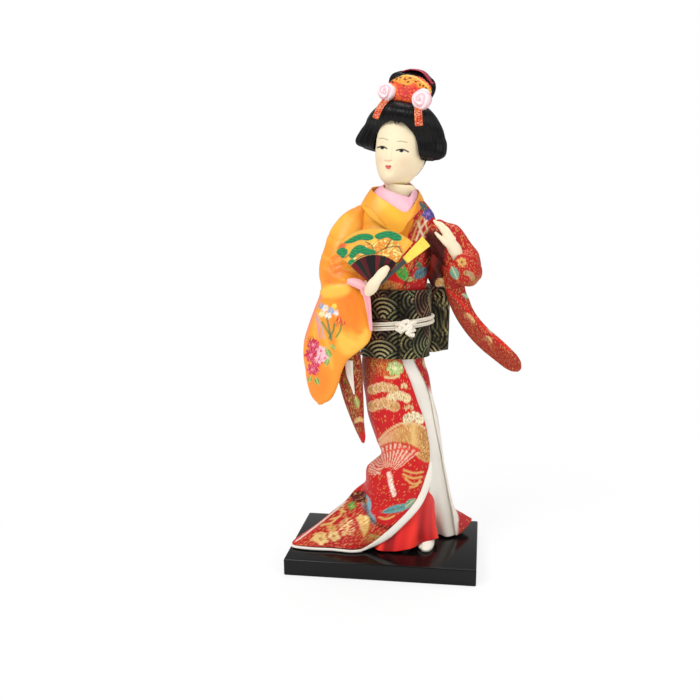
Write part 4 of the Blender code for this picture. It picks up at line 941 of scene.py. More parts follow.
    def lining(self) -> None:
        """White lining turned to the front, falling in one long soft fold."""
        rows = np.linspace(0.6, 12.0, 150)
        stations = np.linspace(10.72, 12.0, 52)
        grid = self.points(rows, stations)
        out = normals(grid)
        out = out if out[40:90, :, 1].mean() < 0 else -out
        share = np.linspace(0, 1, 52)[None, :]
        low = np.clip((rows - 5) / 6, 0, 1)[:, None]
        drop = -1.0 + low * (0.75 * np.sin(share * 7.5 + rows[:, None] * 0.35) + 0.4 * np.sin(share * 15))
        grid = grid + out * drop[..., None]
        piece_paint = Paint(share * np.ones((150, 1)), np.ones((1, 52)) * rows[:, None], "#ece6da", 6)
        # painted shade following the folds that the lower lining falls in
        piece_paint.lay(0.35 * (0.5 + 0.5 * np.sin(share * 7.5 + rows[:, None] * 0.35 + 1.4)) * low,
                        "#d8cdbd")
        piece = make_mesh("skirt_lining_satin", grid, grid - out * 0.45, False, piece_paint)
        place_piece(piece, LINING, "white_satin", "skirt_lining")

    def hem(self) -> None:
        """Padded white hem down the over-panel's edge and along the train."""
        path, toward, width, depth = [], [], [], []
        for row in np.linspace(6.0, 11.85, 60):
            at = np.array([row])
            here, beside = (self.points(at, np.array([s]))[0, 0] for s in (0.0, 0.3))
            down = unit(self.points(at + 0.1, np.array([0.0]))[0, 0]
                        - self.points(at - 0.1, np.array([0.0]))[0, 0])
            away = -(beside - here - down * (beside - here).dot(down))
            half = float(np.interp(row, [6.0, 7.0, 10.5, 12.0], [0.7, 1.9, 1.9, 0.8]))
            point = here + unit(away) * (half + 0.2)
            point[2] = max(point[2], GROUND + half)
            path.append(point)
            near = np.array([0.05, 0.15])
            toward.append(normals(self.points(at + np.array([-0.05, 0.05]), near))[0, 0])
            width.append(half)
            depth.append(0.75)
        for station in np.linspace(0.35, 4.9, 70):
            point = self.points(np.array([12.0]), np.array([station]))[0, 0]
            point[2] = GROUND + 0.75
            path.append(point)
            toward.append(np.array((0, -1, 0.4)))
            width.append(0.75)
            depth.append(0.8)
        table = rounded(rings(np.array(path), np.array(toward), np.array(width), np.array(depth), 20))
        turn = np.linspace(0, 1, table.shape[1])[None, :] * np.ones((len(table), 1))
        paint = Paint(turn, np.linspace(0, 1, len(table))[:, None] * np.ones(turn.shape), "#efe9de", 7)
        paint.lay(0.3 * (0.5 + 0.5 * np.sin(turn * 12.6)), "#d9cfc0")
        piece = make_mesh("padded_hem", table, paint=paint)
        place_piece(piece, LINING, "white_satin", "hem_band")

    def under(self) -> None:
        """Scarlet under-skirt, gathered in folds that open over the front foot."""
        lines = np.array([
            [(24, 2, 58), (22, -5, 58), (15, -8.6, 58), (8, -7, 58), (3, 1, 58), (6, 8, 58), (13, 10.5, 58),
             (20, 9, 58)],
            [(25.6, 2, 44), (22.6, -6, 44), (14, -10.2, 44), (4, -8, 44), (-2, 1, 44), (2, 9, 44),
             (12, 12, 44), (22, 9.6, 44)],
            [(25.0, 0, 30), (21.0, -8, 30), (12, -11.8, 30), (2, -10, 30), (-4, 0, 30), (0, 9, 30),
             (11, 12.5, 30), (21, 9.0, 30)],
            [(25.6, -1.5, 20), (20.6, -10.2, 20), (11, -14.2, 20), (0, -12.6, 20), (-7, -1, 20), (-2, 9, 20),
             (10, 13, 20), (20, 8.6, 20)],
            [(27.0, -2.6, 12.4), (21.0, -10.6, 12.4), (9.5, -16.4, 10.0), (-2, -16.4, 9.6), (-9, -2, 9.6),
             (-3, 9, 9.6), (9, 13.4, 9.6), (19.6, 8.4, 9.6)]], float)
        stations = np.linspace(0, 8, 160, endpoint=False)
        rows = np.linspace(0, 4, 80)
        around = spline(lines.transpose(1, 0, 2), stations, True).transpose(1, 0, 2)
        grid = spline(around, rows)
        out = outward(grid)
        low = np.clip((rows - 0.8) / 3.2, 0, 1)[:, None] ** 1.2
        wave = 0.55 * np.sin(stations * 4.2 + 0.6)[None, :] + 0.35 * np.sin(stations * 9.1)[None, :]
        grid = grid + out * (low * wave)[..., None]
        paint = Paint(*seen(grid), "#e2201c", 8)
        # painted highlights on the crests of the folds and painted shade in their hollows
        paint.lay(np.clip(wave * low * 2.0, 0, 1) * 0.7, "#ff3a28")
        paint.lay(np.clip(-wave * low * 2.4, 0, 1) * 0.9, "#9a080b")
        piece = make_mesh("scarlet_under_skirt", grid, grid - out * 0.5, True, paint)
        place_piece(piece, SATIN, "red_satin", "under_skirt")


# front of the bodice: pale lattice, a violet flower, leaves and gold stitches above the sash
BODICE_ART = (
    ("wash", "stroke", ([(412, 240), (417, 226), (424, 214)], 1.4), 1, "#d7a968", 0.6),
    ("wash", "stroke", ([(416, 240), (421, 228), (428, 219)], 1.6), 1, "#efe2c8", 0.6),
    ("wash", "stroke", ([(420, 240), (425, 232), (431, 226)], 1.4), 1, "#e3c48a", 0.6),
    ("wash", "stroke", ([(418, 222), (421, 232), (424, 238)], 1.8), 1, "#f0e4cc", 0.6),
    ("wash", "stroke", ([(424, 219), (427, 230), (429, 236)], 1.2), 1, "#e9d9b4", 0.6),
    ("wash", "stroke", ([(410, 232), (414, 225), (420, 217)], 1.2), 1, "#c8803c", 0.6),
    ("blossom", 428, 214, 7, "#3c2f8c", "#8a7ac4", 5, 0.1, 0.9),
    ("leaf", 423, 207, 12, 6, 50, "#35604e", "#2d3a80"),
    ("leaf", 436, 231, 13, 7, -30, "#4e7a3c", "#c9b46a"),
    ("wash", "shape", ([(374, 281), (390, 280), (403, 283), (403, 290), (372, 290)], 2), 0.8, "#7a3a1c",
     0.6),
    ("wash", "shape", ([(389, 270), (397, 272), (404, 284), (402, 290), (391, 284)], 2), 0.9, "#e01c1a",
     0.0),
    ("leaf", 402, 272, 22, 11, 60, "#34b446", "#1f6a2e"),
    ("leaf", 409.5, 279, 9, 5, 10, "#c8d07a", "#3c6a2a"),
    ("leaf", 421, 273, 19, 10, -35, "#3f7f8e", "#20384e"),
    ("leaf", 419, 265, 9, 6, 50, "#5c7a5a", "#2b3a30"),
    ("stitches", "shape", ([(373, 278), (400, 284), (402, 290), (372, 290)], 2), 0.35, "#c98a44", 0.8),
    ("stitches", "shape", ([(398, 258), (420, 255), (412, 270), (400, 268)], 2), 0.25, "#d08a48", 0.7))

# light and shade of the orange collar
COLLAR_ART = (
    ("wash", "shape", ([(372, 186), (384, 190), (402, 216), (396, 222), (378, 205)], 6), 0.8, "#fcc23c"),
    ("wash", "shape", ([(364, 188), (374, 186), (378, 204), (366, 206)], 5), 0.6, "#fb9c2e"),
    ("wash", "stroke", ([(420, 201), (414, 217), (407, 236)], 5, 2), 0.8, "#f48a2a"),
    ("wash", "stroke", ([(364, 205), (373, 210), (386, 226)], 0.9), 0.7, "#c96a1c"))

# upper and lower edge of the pink collar
INNER_COLLAR = (
    [(9.5, -4.6, 183.3), (3.5, -4.6, 185.2), (-1.4, -1.4, 187.3), (-2.0, 4.5, 189), (1.2, 10.4, 190),
     (6, 12.2, 190.5), (10.2, 10.2, 189.4), (12.2, 4.5, 187.2), (12.0, -1.6, 184.9),
     (10.8, -4.0, 183.2)],
    [(8.4, -8.9, 176.0), (1.5, -8.2, 180.5), (-4.7, -4.2, 184.2), (-6.2, 4.5, 186), (-1.7, 12.8, 187),
     (6, 15.2, 187.5), (12.4, 12.6, 186), (13.8, 4.9, 183.6), (13.2, -4.0, 180.4), (11.4, -7.8, 177.2)])

# upper and lower edge of the orange collar
OUTER_COLLAR = (
    [(8.2, -10.2, 176.6), (1.0, -9.6, 180.9), (-5.2, -6.0, 184.8), (-8.0, 4.0, 187.4),
     (-3.2, 13.8, 188.2), (6, 17.2, 188.4), (13.4, 13.6, 186.4), (14.4, 5.3, 183.9),
     (13.8, -5.0, 180.4), (11.0, -9.3, 176.8)],
    [(6.2, -10.8, 166.6), (-4.8, -10.6, 172.5), (-11.4, -5.5, 178.4), (-12.4, 5, 179.8),
     (-6, 15.8, 180.6), (6, 18.0, 181.5), (15.6, 15.2, 180.6), (17.0, 5.9, 179.4), (15.2, -6.4, 176.2),
     (11.0, -10.8, 171.8)])


@dataclass
class Bodice:
    """Crossed brocade bodice, the orange robe over one shoulder, and the two collars."""

    def build(self) -> None:
        """Model and dress the bodice, the robe and the collars."""
        self.bodice()
        self.robe()
        self.collars()

    def bodice(self) -> None:
        """Brocade bodice with its front overlap."""
        heights = np.linspace(113.0, 180.0, 130)
        turns = np.linspace(0, 2 * math.pi, 220, endpoint=False)
        grid = body_points(heights, turns, BODICE_OUT)
        out = unit(grid - body_points(heights, turns, 0.0))
        px, py = seen(grid)
        paint = Paint(px, py, "#b8141a", 21)
        overlap = paint.stroke([(420, 255), (416, 262), (409, 276), (403, 288)], 1.6, 1.6)
        u, v = np.meshgrid(np.linspace(0, 105, 220), np.linspace(0, 67, 130)[::-1])
        plain = Paint(u, v, "#b5141a", 22)
        plain.brocade(23, 105.0, 67.0)
        paint.draw(BODICE_ART)
        shade = paint.shape([(425, 236), (436, 230), (450, 238), (450, 286), (432, 292), (426, 276)], 5)
        paint.lay(shade * 0.92, "#330709", 0.02)
        paint.lay(paint.shape([(398, 222), (413.4, 219), (408, 234.5), (405, 246), (392, 246)], 0.8),
                  "#f9a02c", 0)
        # painted shade along the edge of the front overlap
        paint.lay(overlap * 0.9, "#4a0809")
        paint.strew(0.05, "#c98a44", 0.8)
        lit = (((turns > math.pi * 1.02) & (turns < math.pi * 1.98))[None, :]) * np.ones(px.shape)
        paint.under(plain, lit)
        side = np.clip((px - 403) / 3.0 + (py - 288) / 6.5, -1, 1)
        grid = grid + out * (0.3 * np.clip(-side, 0, 1) * lit)[..., None]
        piece = make_mesh("brocade_bodice", grid, grid - out * 0.6, True, paint)
        place_piece(piece, BROCADE, "red_brocade", "bodice")

    def robe(self) -> None:
        """Orange satin over the right shoulder, tucked into the sash."""
        heights = np.linspace(141.5, 179.5, 90)
        edge = np.interp(heights, [141.5, 150, 158, 166, 170, 180], [205, 230, 255, 275, 283, 283])
        turns = np.array([np.radians(np.linspace(92.0, last, 110)) for last in edge])
        grid = body_points(heights, turns, ROBE_OUT)
        out = unit(grid - body_points(heights, turns, 0.0))
        px, py = seen(grid)
        paint = Paint(px, py, "#f9a62f", 31)
        # a painted highlight over the front of the satin and painted shade on the outer shoulder
        paint.lay(paint.shape([(364, 205), (385, 200), (409, 232), (404, 246), (380, 232)], 8) * 0.75,
                  "#ffc53c")
        paint.lay(paint.shape([(335, 225), (352, 216), (365, 232), (350, 245), (332, 250)], 9) * 0.5,
                  "#fb9330")
        drop = 0.5 * paint.stroke([(352, 240), (372, 236), (395, 240)], 2, 7)
        drop -= 0.4 * paint.stroke([(345, 232), (362, 225), (380, 226)], 2, 6)
        grid = grid + out * drop[..., None]
        piece = make_mesh("orange_robe_shoulder", grid, grid - out * 0.7, False, paint)
        place_piece(piece, SATIN, "orange_satin", "over_robe")

    def collars(self) -> None:
        """Pink inner collar and the wide orange collar, each a folded band round the neck."""
        for name, (top, bottom), finish, slot, node in (
                ("pink_inner_collar", INNER_COLLAR, LINING, "inner_collar", "inner_collar"),
                ("orange_collar", OUTER_COLLAR, SATIN, "orange_satin", "outer_collar")):
            high, low = run(top, 150, True), run(bottom, 150, True)
            share = np.linspace(0, 1, 26)[:, None, None]
            grid = high * (1 - share) + low * share
            out = outward(grid)
            lift = 0.35 * np.sin(math.pi * share[..., 0])
            grid = grid + out * lift[..., None]
            px, py = seen(grid)
            if node == "inner_collar":
                paint = Paint(px, py, "#f2b6c6", 41)
                # a paler painted highlight on the collar's front
                paint.lay(paint.shape([(384, 190), (400, 196), (412, 214), (402, 214), (388, 200)], 4)
                          * 0.5, "#f6cfd6")
            else:
                paint = Paint(px, py, "#fab036", 42)
                paint.draw(COLLAR_ART)
            piece = make_mesh(name, grid, grid - out * 0.55, True, paint)
            place_piece(piece, finish, slot, node)


@dataclass
class Sash:
    """Wide black sash, its twisted cord with a knot, and the bow pad behind."""

    bottom: float = 106.8
    top: float = 140.0
    strand: float = 0.95
    cord_height: float = 123.2
    scale: float = 10.0

    def build(self) -> None:
        """Model and dress the sash, the bow, the cord and its knot."""
        self.band()
        self.bow()
        self.cord()

    def band(self) -> None:
        """Sash with wave scales in beaded gold, and its end folded down the front."""
        heights = np.linspace(self.bottom, self.top, 110)
        turns = np.linspace(0, 2 * math.pi, 300, endpoint=False)
        grid = body_points(heights, turns, SASH_OUT)
        out = unit(grid - body_points(heights, turns, 0.0))
        px, _ = seen(grid)
        front = ((turns > math.pi) & (turns < 2 * math.pi))[None, :]
        end = front * np.clip((px - 399) / 2.0, 0, 1)
        u = (turns * 15.6)[None, :] * np.ones(px.shape)
        v = heights[:, None] * np.ones(px.shape)
        paint = Paint(u, v, "#0d0b0a", 51)
        shadow = 1 - 0.85 * paint.disc(75.5, 131, 7, 9, 0, 4)
        paint.waves(u - 68.3, v - 126.5, self.scale, 1 - end)
        paint.waves(v - 134.5, 82.8 - u, self.scale, end * shadow)
        lip = front * np.exp(-((px - 398) / 1.5) ** 2)
        # painted shade in the groove along the folded end's edge
        paint.lay(lip * 0.9, "#050404")
        slack = 0.25 * np.sin(v * 0.5 + u * 0.13) * np.ones(px.shape)
        pinch = -0.35 * np.exp(-((v - self.cord_height) / 3.0) ** 2)
        grid = grid + out * (0.45 * end + slack + pinch - 0.5 * lip)[..., None]
        piece = make_mesh("wave_sash", grid, grid - out * 1.2, True, paint)
        place_piece(piece, SASH_CLOTH, "sash_brocade", "sash")

    def bow(self) -> None:
        """Drum bow at the back: a soft pad with its side loops drawn in at the middle."""
        table = []
        for x in np.linspace(-1, 1, 90):
            share = 0.55 + 0.45 * (1 - abs(x) ** 7) - 0.1 * math.exp(-(x / 0.22) ** 2)
            turn = np.linspace(0, 2 * math.pi, 110, endpoint=False)
            c, s = np.cos(turn), np.sin(turn)
            table.append(np.stack((7.0 + 22.5 * x + 0 * turn,
                                   20.0 + 6.6 * share * np.sign(c) * np.abs(c) ** 0.6,
                                   123.0 + 17.5 * (0.86 + 0.14 * share) * np.sign(s) * np.abs(s) ** 0.5),
                                  axis=-1))
        grid = np.array(table)
        across = (np.linspace(-22.5, 22.5, 90)[:, None] + 90) * np.ones((1, 110))
        up = grid[..., 2] - 100
        paint = Paint(across, up, "#0d0b0a", 52)
        paint.waves(up - 4, across, self.scale, np.ones(up.shape))
        out = outward(grid)
        ripple = 0.3 * np.sin(across * 0.55 + up * 0.1)
        piece = make_mesh("drum_bow", grid + out * ripple[..., None], paint=paint)
        place_piece(piece, SASH_CLOTH, "sash_brocade", "sash_bow")

    def cord(self) -> None:
        """Two twisted strands round the sash and the knot that ties them in front."""
        turns = np.linspace(0, 2 * math.pi, 520, endpoint=False)
        for name, level, node in (("sash_cord_upper", self.strand + 0.15, "cord_upper"),
                                  ("sash_cord_lower", -self.strand - 0.15, "cord_lower")):
            heights = self.cord_height + level + 1.7 * np.cos(turns)
            path = np.array([body_points(np.array([h]), np.array([t]), SASH_OUT + 0.3 + self.strand)[0, 0]
                             for h, t in zip(heights, turns)])
            path = np.concatenate((path, path[:1]))
            piece = self.strand_mesh(name, path, self.strand, True)
            place_piece(piece, SILK_CORD, "cord", node)
        knot = []
        for k, path in enumerate((
                [(6.2, -12.6, 124.2), (8.2, -13.9, 124.8), (10.4, -14.4, 123.4), (12.6, -13.9, 121.6),
                 (14.6, -12.6, 121.8)],
                [(6.2, -12.6, 122.0), (8.4, -13.7, 121.4), (10.8, -14.3, 122.8), (13.0, -13.8, 124.9),
                 (15.0, -12.4, 125.6)],
                [(8.4, -13.2, 120.6), (7.9, -14.1, 122.6), (9.0, -14.3, 125.2), (11.2, -14.0, 126.0)],
                [(11.2, -13.8, 126.2), (12.8, -14.2, 124.6), (12.9, -14.3, 122.0), (11.6, -14.0, 120.2)],
                [(11.0, -13.6, 120.6), (13.0, -13.8, 119.6), (14.6, -13.4, 119.3)])):
            knot.append(self.strand_mesh(f"knot_{k}", run(path, 40), 1.05, False))
        place_piece(joined("sash_cord_knot", knot), SILK_CORD, "cord", "cord_knot")

    def strand_mesh(self, name: str, path: np.ndarray, radius: float, closed: bool) -> bpy.types.Object:
        """Tube with the grooves of three twisted plies.

        Args:
            name: Name of the strand.
            path: Its middle line.
            radius: Its radius.
            closed: Whether the line comes back to its start.

        Returns:
            The strand as an object.
        """
        table = rings(path, (0.2, 0.3, 1.0), radius, radius, 20)
        length = np.concatenate(([0.0], np.cumsum(np.linalg.norm(np.diff(path, axis=0), axis=-1))))
        if closed:
            turns = round(length[-1] / 3.4)
            phase = length / length[-1] * turns * 2 * math.pi / 3
        else:
            phase = length / 3.4 * 2 * math.pi / 3
        turn = np.linspace(0, 2 * math.pi, 20, endpoint=False)[None, :]
        groove = np.abs(np.cos(1.5 * (turn + phase[:, None] * 3)))
        table = path[:, None] + (table - path[:, None]) * (0.84 + 0.18 * groove)[..., None]
        paint = Paint(turn * np.ones(groove.shape), groove, "#efe7d6", 53)
        # painted shade in the grooves between the plies
        paint.lay((groove < 0.3) * 0.55, "#b9a98c")
        if closed:
            return make_mesh(name, table[:-1].transpose(1, 0, 2), self.hollow(path, 20), True,
                             self.turned(paint))
        return make_mesh(name, rounded(table, 3), paint=self.padded_paint(paint, 3))

    def hollow(self, path: np.ndarray, sides: int) -> np.ndarray:
        """Thin core of a closed strand, which closes its mesh."""
        table = rings(path, (0.2, 0.3, 1.0), 0.2, 0.2, sides)
        return table[:-1].transpose(1, 0, 2)

    def turned(self, paint: Paint) -> Paint:
        """Paint with its rows and columns exchanged, without the last repeated ring."""
        paint.dye = paint.dye[:-1].transpose(1, 0, 2)
        paint.gilt = paint.gilt[:-1].T
        return paint

    def padded_paint(self, paint: Paint, cap: int) -> Paint:
        """Paint with its end rows repeated over the domes."""
        paint.dye = np.concatenate((paint.dye[:1].repeat(cap, 0), paint.dye, paint.dye[-1:].repeat(cap, 0)))
        paint.gilt = np.concatenate((paint.gilt[:1].repeat(cap, 0), paint.gilt,
                                     paint.gilt[-1:].repeat(cap, 0)))
        return paint


# painted highlights and painted shade of the satin, and its pink edge
SLEEVE_LIGHT_AND_SHADE = (
    ("wash", "shape", ([(330, 222), (346, 213), (360, 222), (352, 240), (334, 246)], 8), 0.5, "#ffb93c"),
    ("wash", "shape", ([(326, 268), (336, 262), (346, 268), (338, 282), (326, 282)], 7), 0.55, "#f2762a"),
    ("wash", "shape", ([(338, 318), (350, 318), (358, 340), (346, 356), (336, 340)], 8), 0.4, "#ffae3a"),
    ("wash", "shape", ([(318, 366), (330, 372), (324, 392), (314, 388)], 6), 0.5, "#ff8426"),
    ("wash", "shape", ([(336, 296), (354, 292), (362, 312), (358, 330), (340, 326)], 9), 0.75, "#f4761f"),
    ("wash", "shape", ([(340, 332), (356, 340), (368, 328), (366, 346), (350, 356), (338, 346)], 6), 0.7,
     "#ffc84e"),
    ("wash", "shape", ([(322, 288), (336, 284), (350, 288), (344, 296), (324, 298)], 4), 0.7, "#ffca50"),
    ("wash", "shape", ([(303, 372), (314, 368), (330, 380), (322, 400), (310, 398)], 7), 0.6, "#fb8424"),
    ("wash", "stroke", ([(320.5, 296), (314, 312), (306, 334), (302.5, 346)], 3, 3), 0.7, "#ea8a86"))

# pale peonies, their leaves, a spray of small flowers and the stems
SLEEVE_FLOWERS = (
    ("blossom", 321, 351, 5.2, "#f8c9cf", "#e0567a", 6, 0),
    ("blossom", 325, 358, 5, "#f8c9cf", "#e0567a", 6, 0),
    ("blossom", 319, 359, 4.6, "#f8c9cf", "#e0567a", 6, 0),
    ("stitches", "shape", ([(308, 338), (318, 340), (322, 360), (316, 376), (308, 364)], 2), 0.25,
     "#a3103a"),
    ("leaf", 328.5, 353, 12, 5, 62, "#3f8f3a", "#c9d87a"),
    ("leaf", 327, 362, 9, 4.4, 110, "#3f8f3a", "#c9d87a"),
    ("leaf", 317, 381, 9, 4.6, 70, "#3f8f3a", "#c9d87a"),
    ("leaf", 310, 379, 7, 3.6, 100, "#3f8f3a", "#c9d87a"),
    ("leaf", 333, 347, 8, 3.4, 40, "#3f8f3a", "#c9d87a"),
    ("blossom", 325, 308, 3.6, "#dfe8f4", "#e8c23a", 5, 0),
    ("blossom", 331, 311, 3.4, "#7fa8dc", "#e8c23a", 5, 0),
    ("blossom", 322, 314, 3.2, "#f4ecc0", "#e8c23a", 5, 0),
    ("blossom", 328, 316, 3.4, "#f4f4fa", "#e8c23a", 5, 0),
    ("blossom", 334, 306, 3.0, "#f2d95a", "#e8c23a", 5, 0),
    ("blossom", 321, 306, 2.8, "#6f97d2", "#e8c23a", 5, 0),
    ("blossom", 336, 313, 2.8, "#e6eef8", "#e8c23a", 5, 0),
    ("blossom", 339, 320, 3.2, "#cf2a2c", "#f4d060", 5, 0),
    ("blossom", 343, 323, 2.8, "#cf2a2c", "#f4d060", 5, 0),
    ("blossom", 336, 324, 2.6, "#cf2a2c", "#f4d060", 5, 0),
    ("wash", "stroke", ([(322, 322), (327, 330), (331, 337)], 1.6), 1, "#3c7f3c"),
    ("wash", "stroke", ([(334, 324), (333, 331), (329, 338)], 1.6), 1, "#3c7f3c"),
    ("wash", "stroke", ([(341, 325), (340, 331), (336, 337)], 1.6), 1, "#4b8a3c"),
    ("wash", "stroke", ([(316, 314), (318, 326), (320, 338)], 1.6), 1, "#d98fa0"),
    ("wash", "stroke", ([(318, 318), (322, 328), (324, 338)], 1.6), 1, "#b9a9b4"),
    ("wash", "stroke", ([(327, 318), (329, 328), (331, 340)], 1.6), 1, "#356f5a"))

# folds of the satin sleeve: path, width and height of the fold
SATIN_FOLDS = (
    ([(329, 262), (340, 256), (352, 259), (361, 268)], 5, -0.9),
    ([(333, 274), (345, 271), (358, 277)], 4, -0.6), ([(322, 292), (336, 287), (352, 286)], 6, 0.8),
    ([(326, 299), (340, 296), (352, 298)], 5, -0.5), ([(327, 240), (334, 228), (346, 216)], 7, 0.5),
    ([(338, 250), (350, 238), (362, 230)], 6, -0.5), ([(341, 305), (350, 325), (352, 345)], 7, 0.5),
    ([(331, 306), (334, 330), (330, 356)], 7, -0.5), ([(318, 312), (314, 340), (314, 370)], 7, 0.4),
    ([(322, 256), (330, 262), (334, 271)], 3.4, 0.6), ([(325, 268), (334, 276), (345, 280)], 3.4, 0.55),
    ([(336, 262), (344, 268), (356, 271)], 3.2, 0.6), ([(330, 267), (340, 265), (349, 262)], 3, -0.6),
    ([(326, 281), (334, 284), (345, 284)], 3, -0.5), ([(328, 234), (336, 240), (350, 243)], 4, -0.4),
    ([(345, 316), (356, 330), (364, 334)], 4, -0.5), ([(350, 334), (360, 338), (367, 330)], 5, 0.6),
    ([(324, 336), (330, 352), (332, 368)], 5, 0.4))

# rings of the satin sleeve: height, left, right, depth, half depth, lead
OVER_SLEEVE = (
    (83.6, -33.2, -30.2, -10, 0.9, 0.2), (85.3, -35.2, -27, -10, 1.6, 0.5),
    (88.6, -37.2, -24.6, -10.1, 2.3, 0.9), (95.3, -38.8, -21.9, -10.5, 3.0, 1.5),
    (100, -39.2, -20.5, -11, 3.2, 1.8), (106, -40, -17.6, -11.6, 3.3, 2.2),
    (111, -40, -12.0, -12.2, 3.4, 3.0), (116, -39.4, -6.8, -12.4, 3.7, 3.6),
    (122, -37.5, -5.2, -12.4, 4.2, 3.6), (130, -34.5, -6.3, -11.6, 5.0, 3),
    (139.5, -31.2, -8.3, -9.0, 7.0, 2.0), (146, -32.4, -9.8, -6.0, 8.6, 1.4),
    (152, -32.3, -11, -4.0, 8.8, 0.8), (158.7, -30.4, -10, -2, 8.4, 0.2), (166.8, -27.7, -9, 0.4, 7.8, 0),
    (173, -23.5, -8, 2, 6.6, 0), (176.5, -19.4, -8.5, 3, 5.0, 0), (178.2, -15.8, -9.6, 3.5, 3.0, 0))

# the red sleeve's end: ground, stitches, a leaf, a cloud and the tip
RED_END_ART = (
    ("wash", "shape", ([(346, 372), (352, 392), (360, 420), (356, 420), (349, 398), (343, 376)], 4), 0.6,
     "#7a4426", 0.3),
    ("strew", 0.16, "#b97a44", 0.7), ("strew", 0.04, "#5f8a4a", 0.1),
    ("wash", "stroke", ([(358, 392), (360, 415), (363, 440)], 2.4, 3), 0.8, "#b01a16"),
    ("leaf", 357, 402, 14, 5, 75, "#6f9a52", "#d8c07a"), ("cloud", 360, 420, 10, 5, "#d09a5c", 0.8),
    ("wash", "disc", (363, 438, 4, 6, 0, 2), 1, "#c31a17"))

# rings of the red sleeve's end: height, left, right, half depth
RED_END = (
    (63.4, -12.4, -10.2, 0.6), (66.2, -13.8, -9.8, 1.2), (73.3, -16.9, -10.4, 1.8),
    (84.9, -21.1, -10.7, 2.2), (95.2, -23.6, -11.1, 2.4), (104, -24.0, -11.7, 2.4),
    (114, -23.6, -13.0, 2.4), (126, -22.0, -14.4, 2.6), (134, -21.4, -15.6, 2.6))

# leaf, clouds and a blossom round the elbow
ELBOW_ART = (
    ("leaf", 454.5, 273, 15, 8, 65, "#3f9486", "#d9cf9a"), ("cloud", 445, 284, 17, 11, "#cf9a52", 0.8, 25),
    ("blossom", 462, 262, 5, "#dca45e", "#7c1c18", 6, 0.7), ("cloud", 470, 275, 12, 6, "#8a5a30", 0.7, 40),
    ("wash", "shape", ([(446, 288), (462, 288), (478, 276), (484, 284), (466, 298), (448, 298)], 4), 0.5,
     "#7d4a24", 0.6))

# stitches and clouds down the hanging end
DROP_ART = (
    ("strew", 0.1, "#cf9850", 0.7), ("cloud", 478, 304, 14, 6, "#d5a05c", 0.8, 45),
    ("cloud", 496, 322, 15, 6, "#d5a05c", 0.8, 42), ("cloud", 508, 338, 12, 6, "#d5a05c", 0.8, 50),
    ("cloud", 488, 340, 10, 6, "#d5a05c", 0.8, 45), ("cloud", 470, 318, 12, 6, "#d5a05c", 0.8, 45))


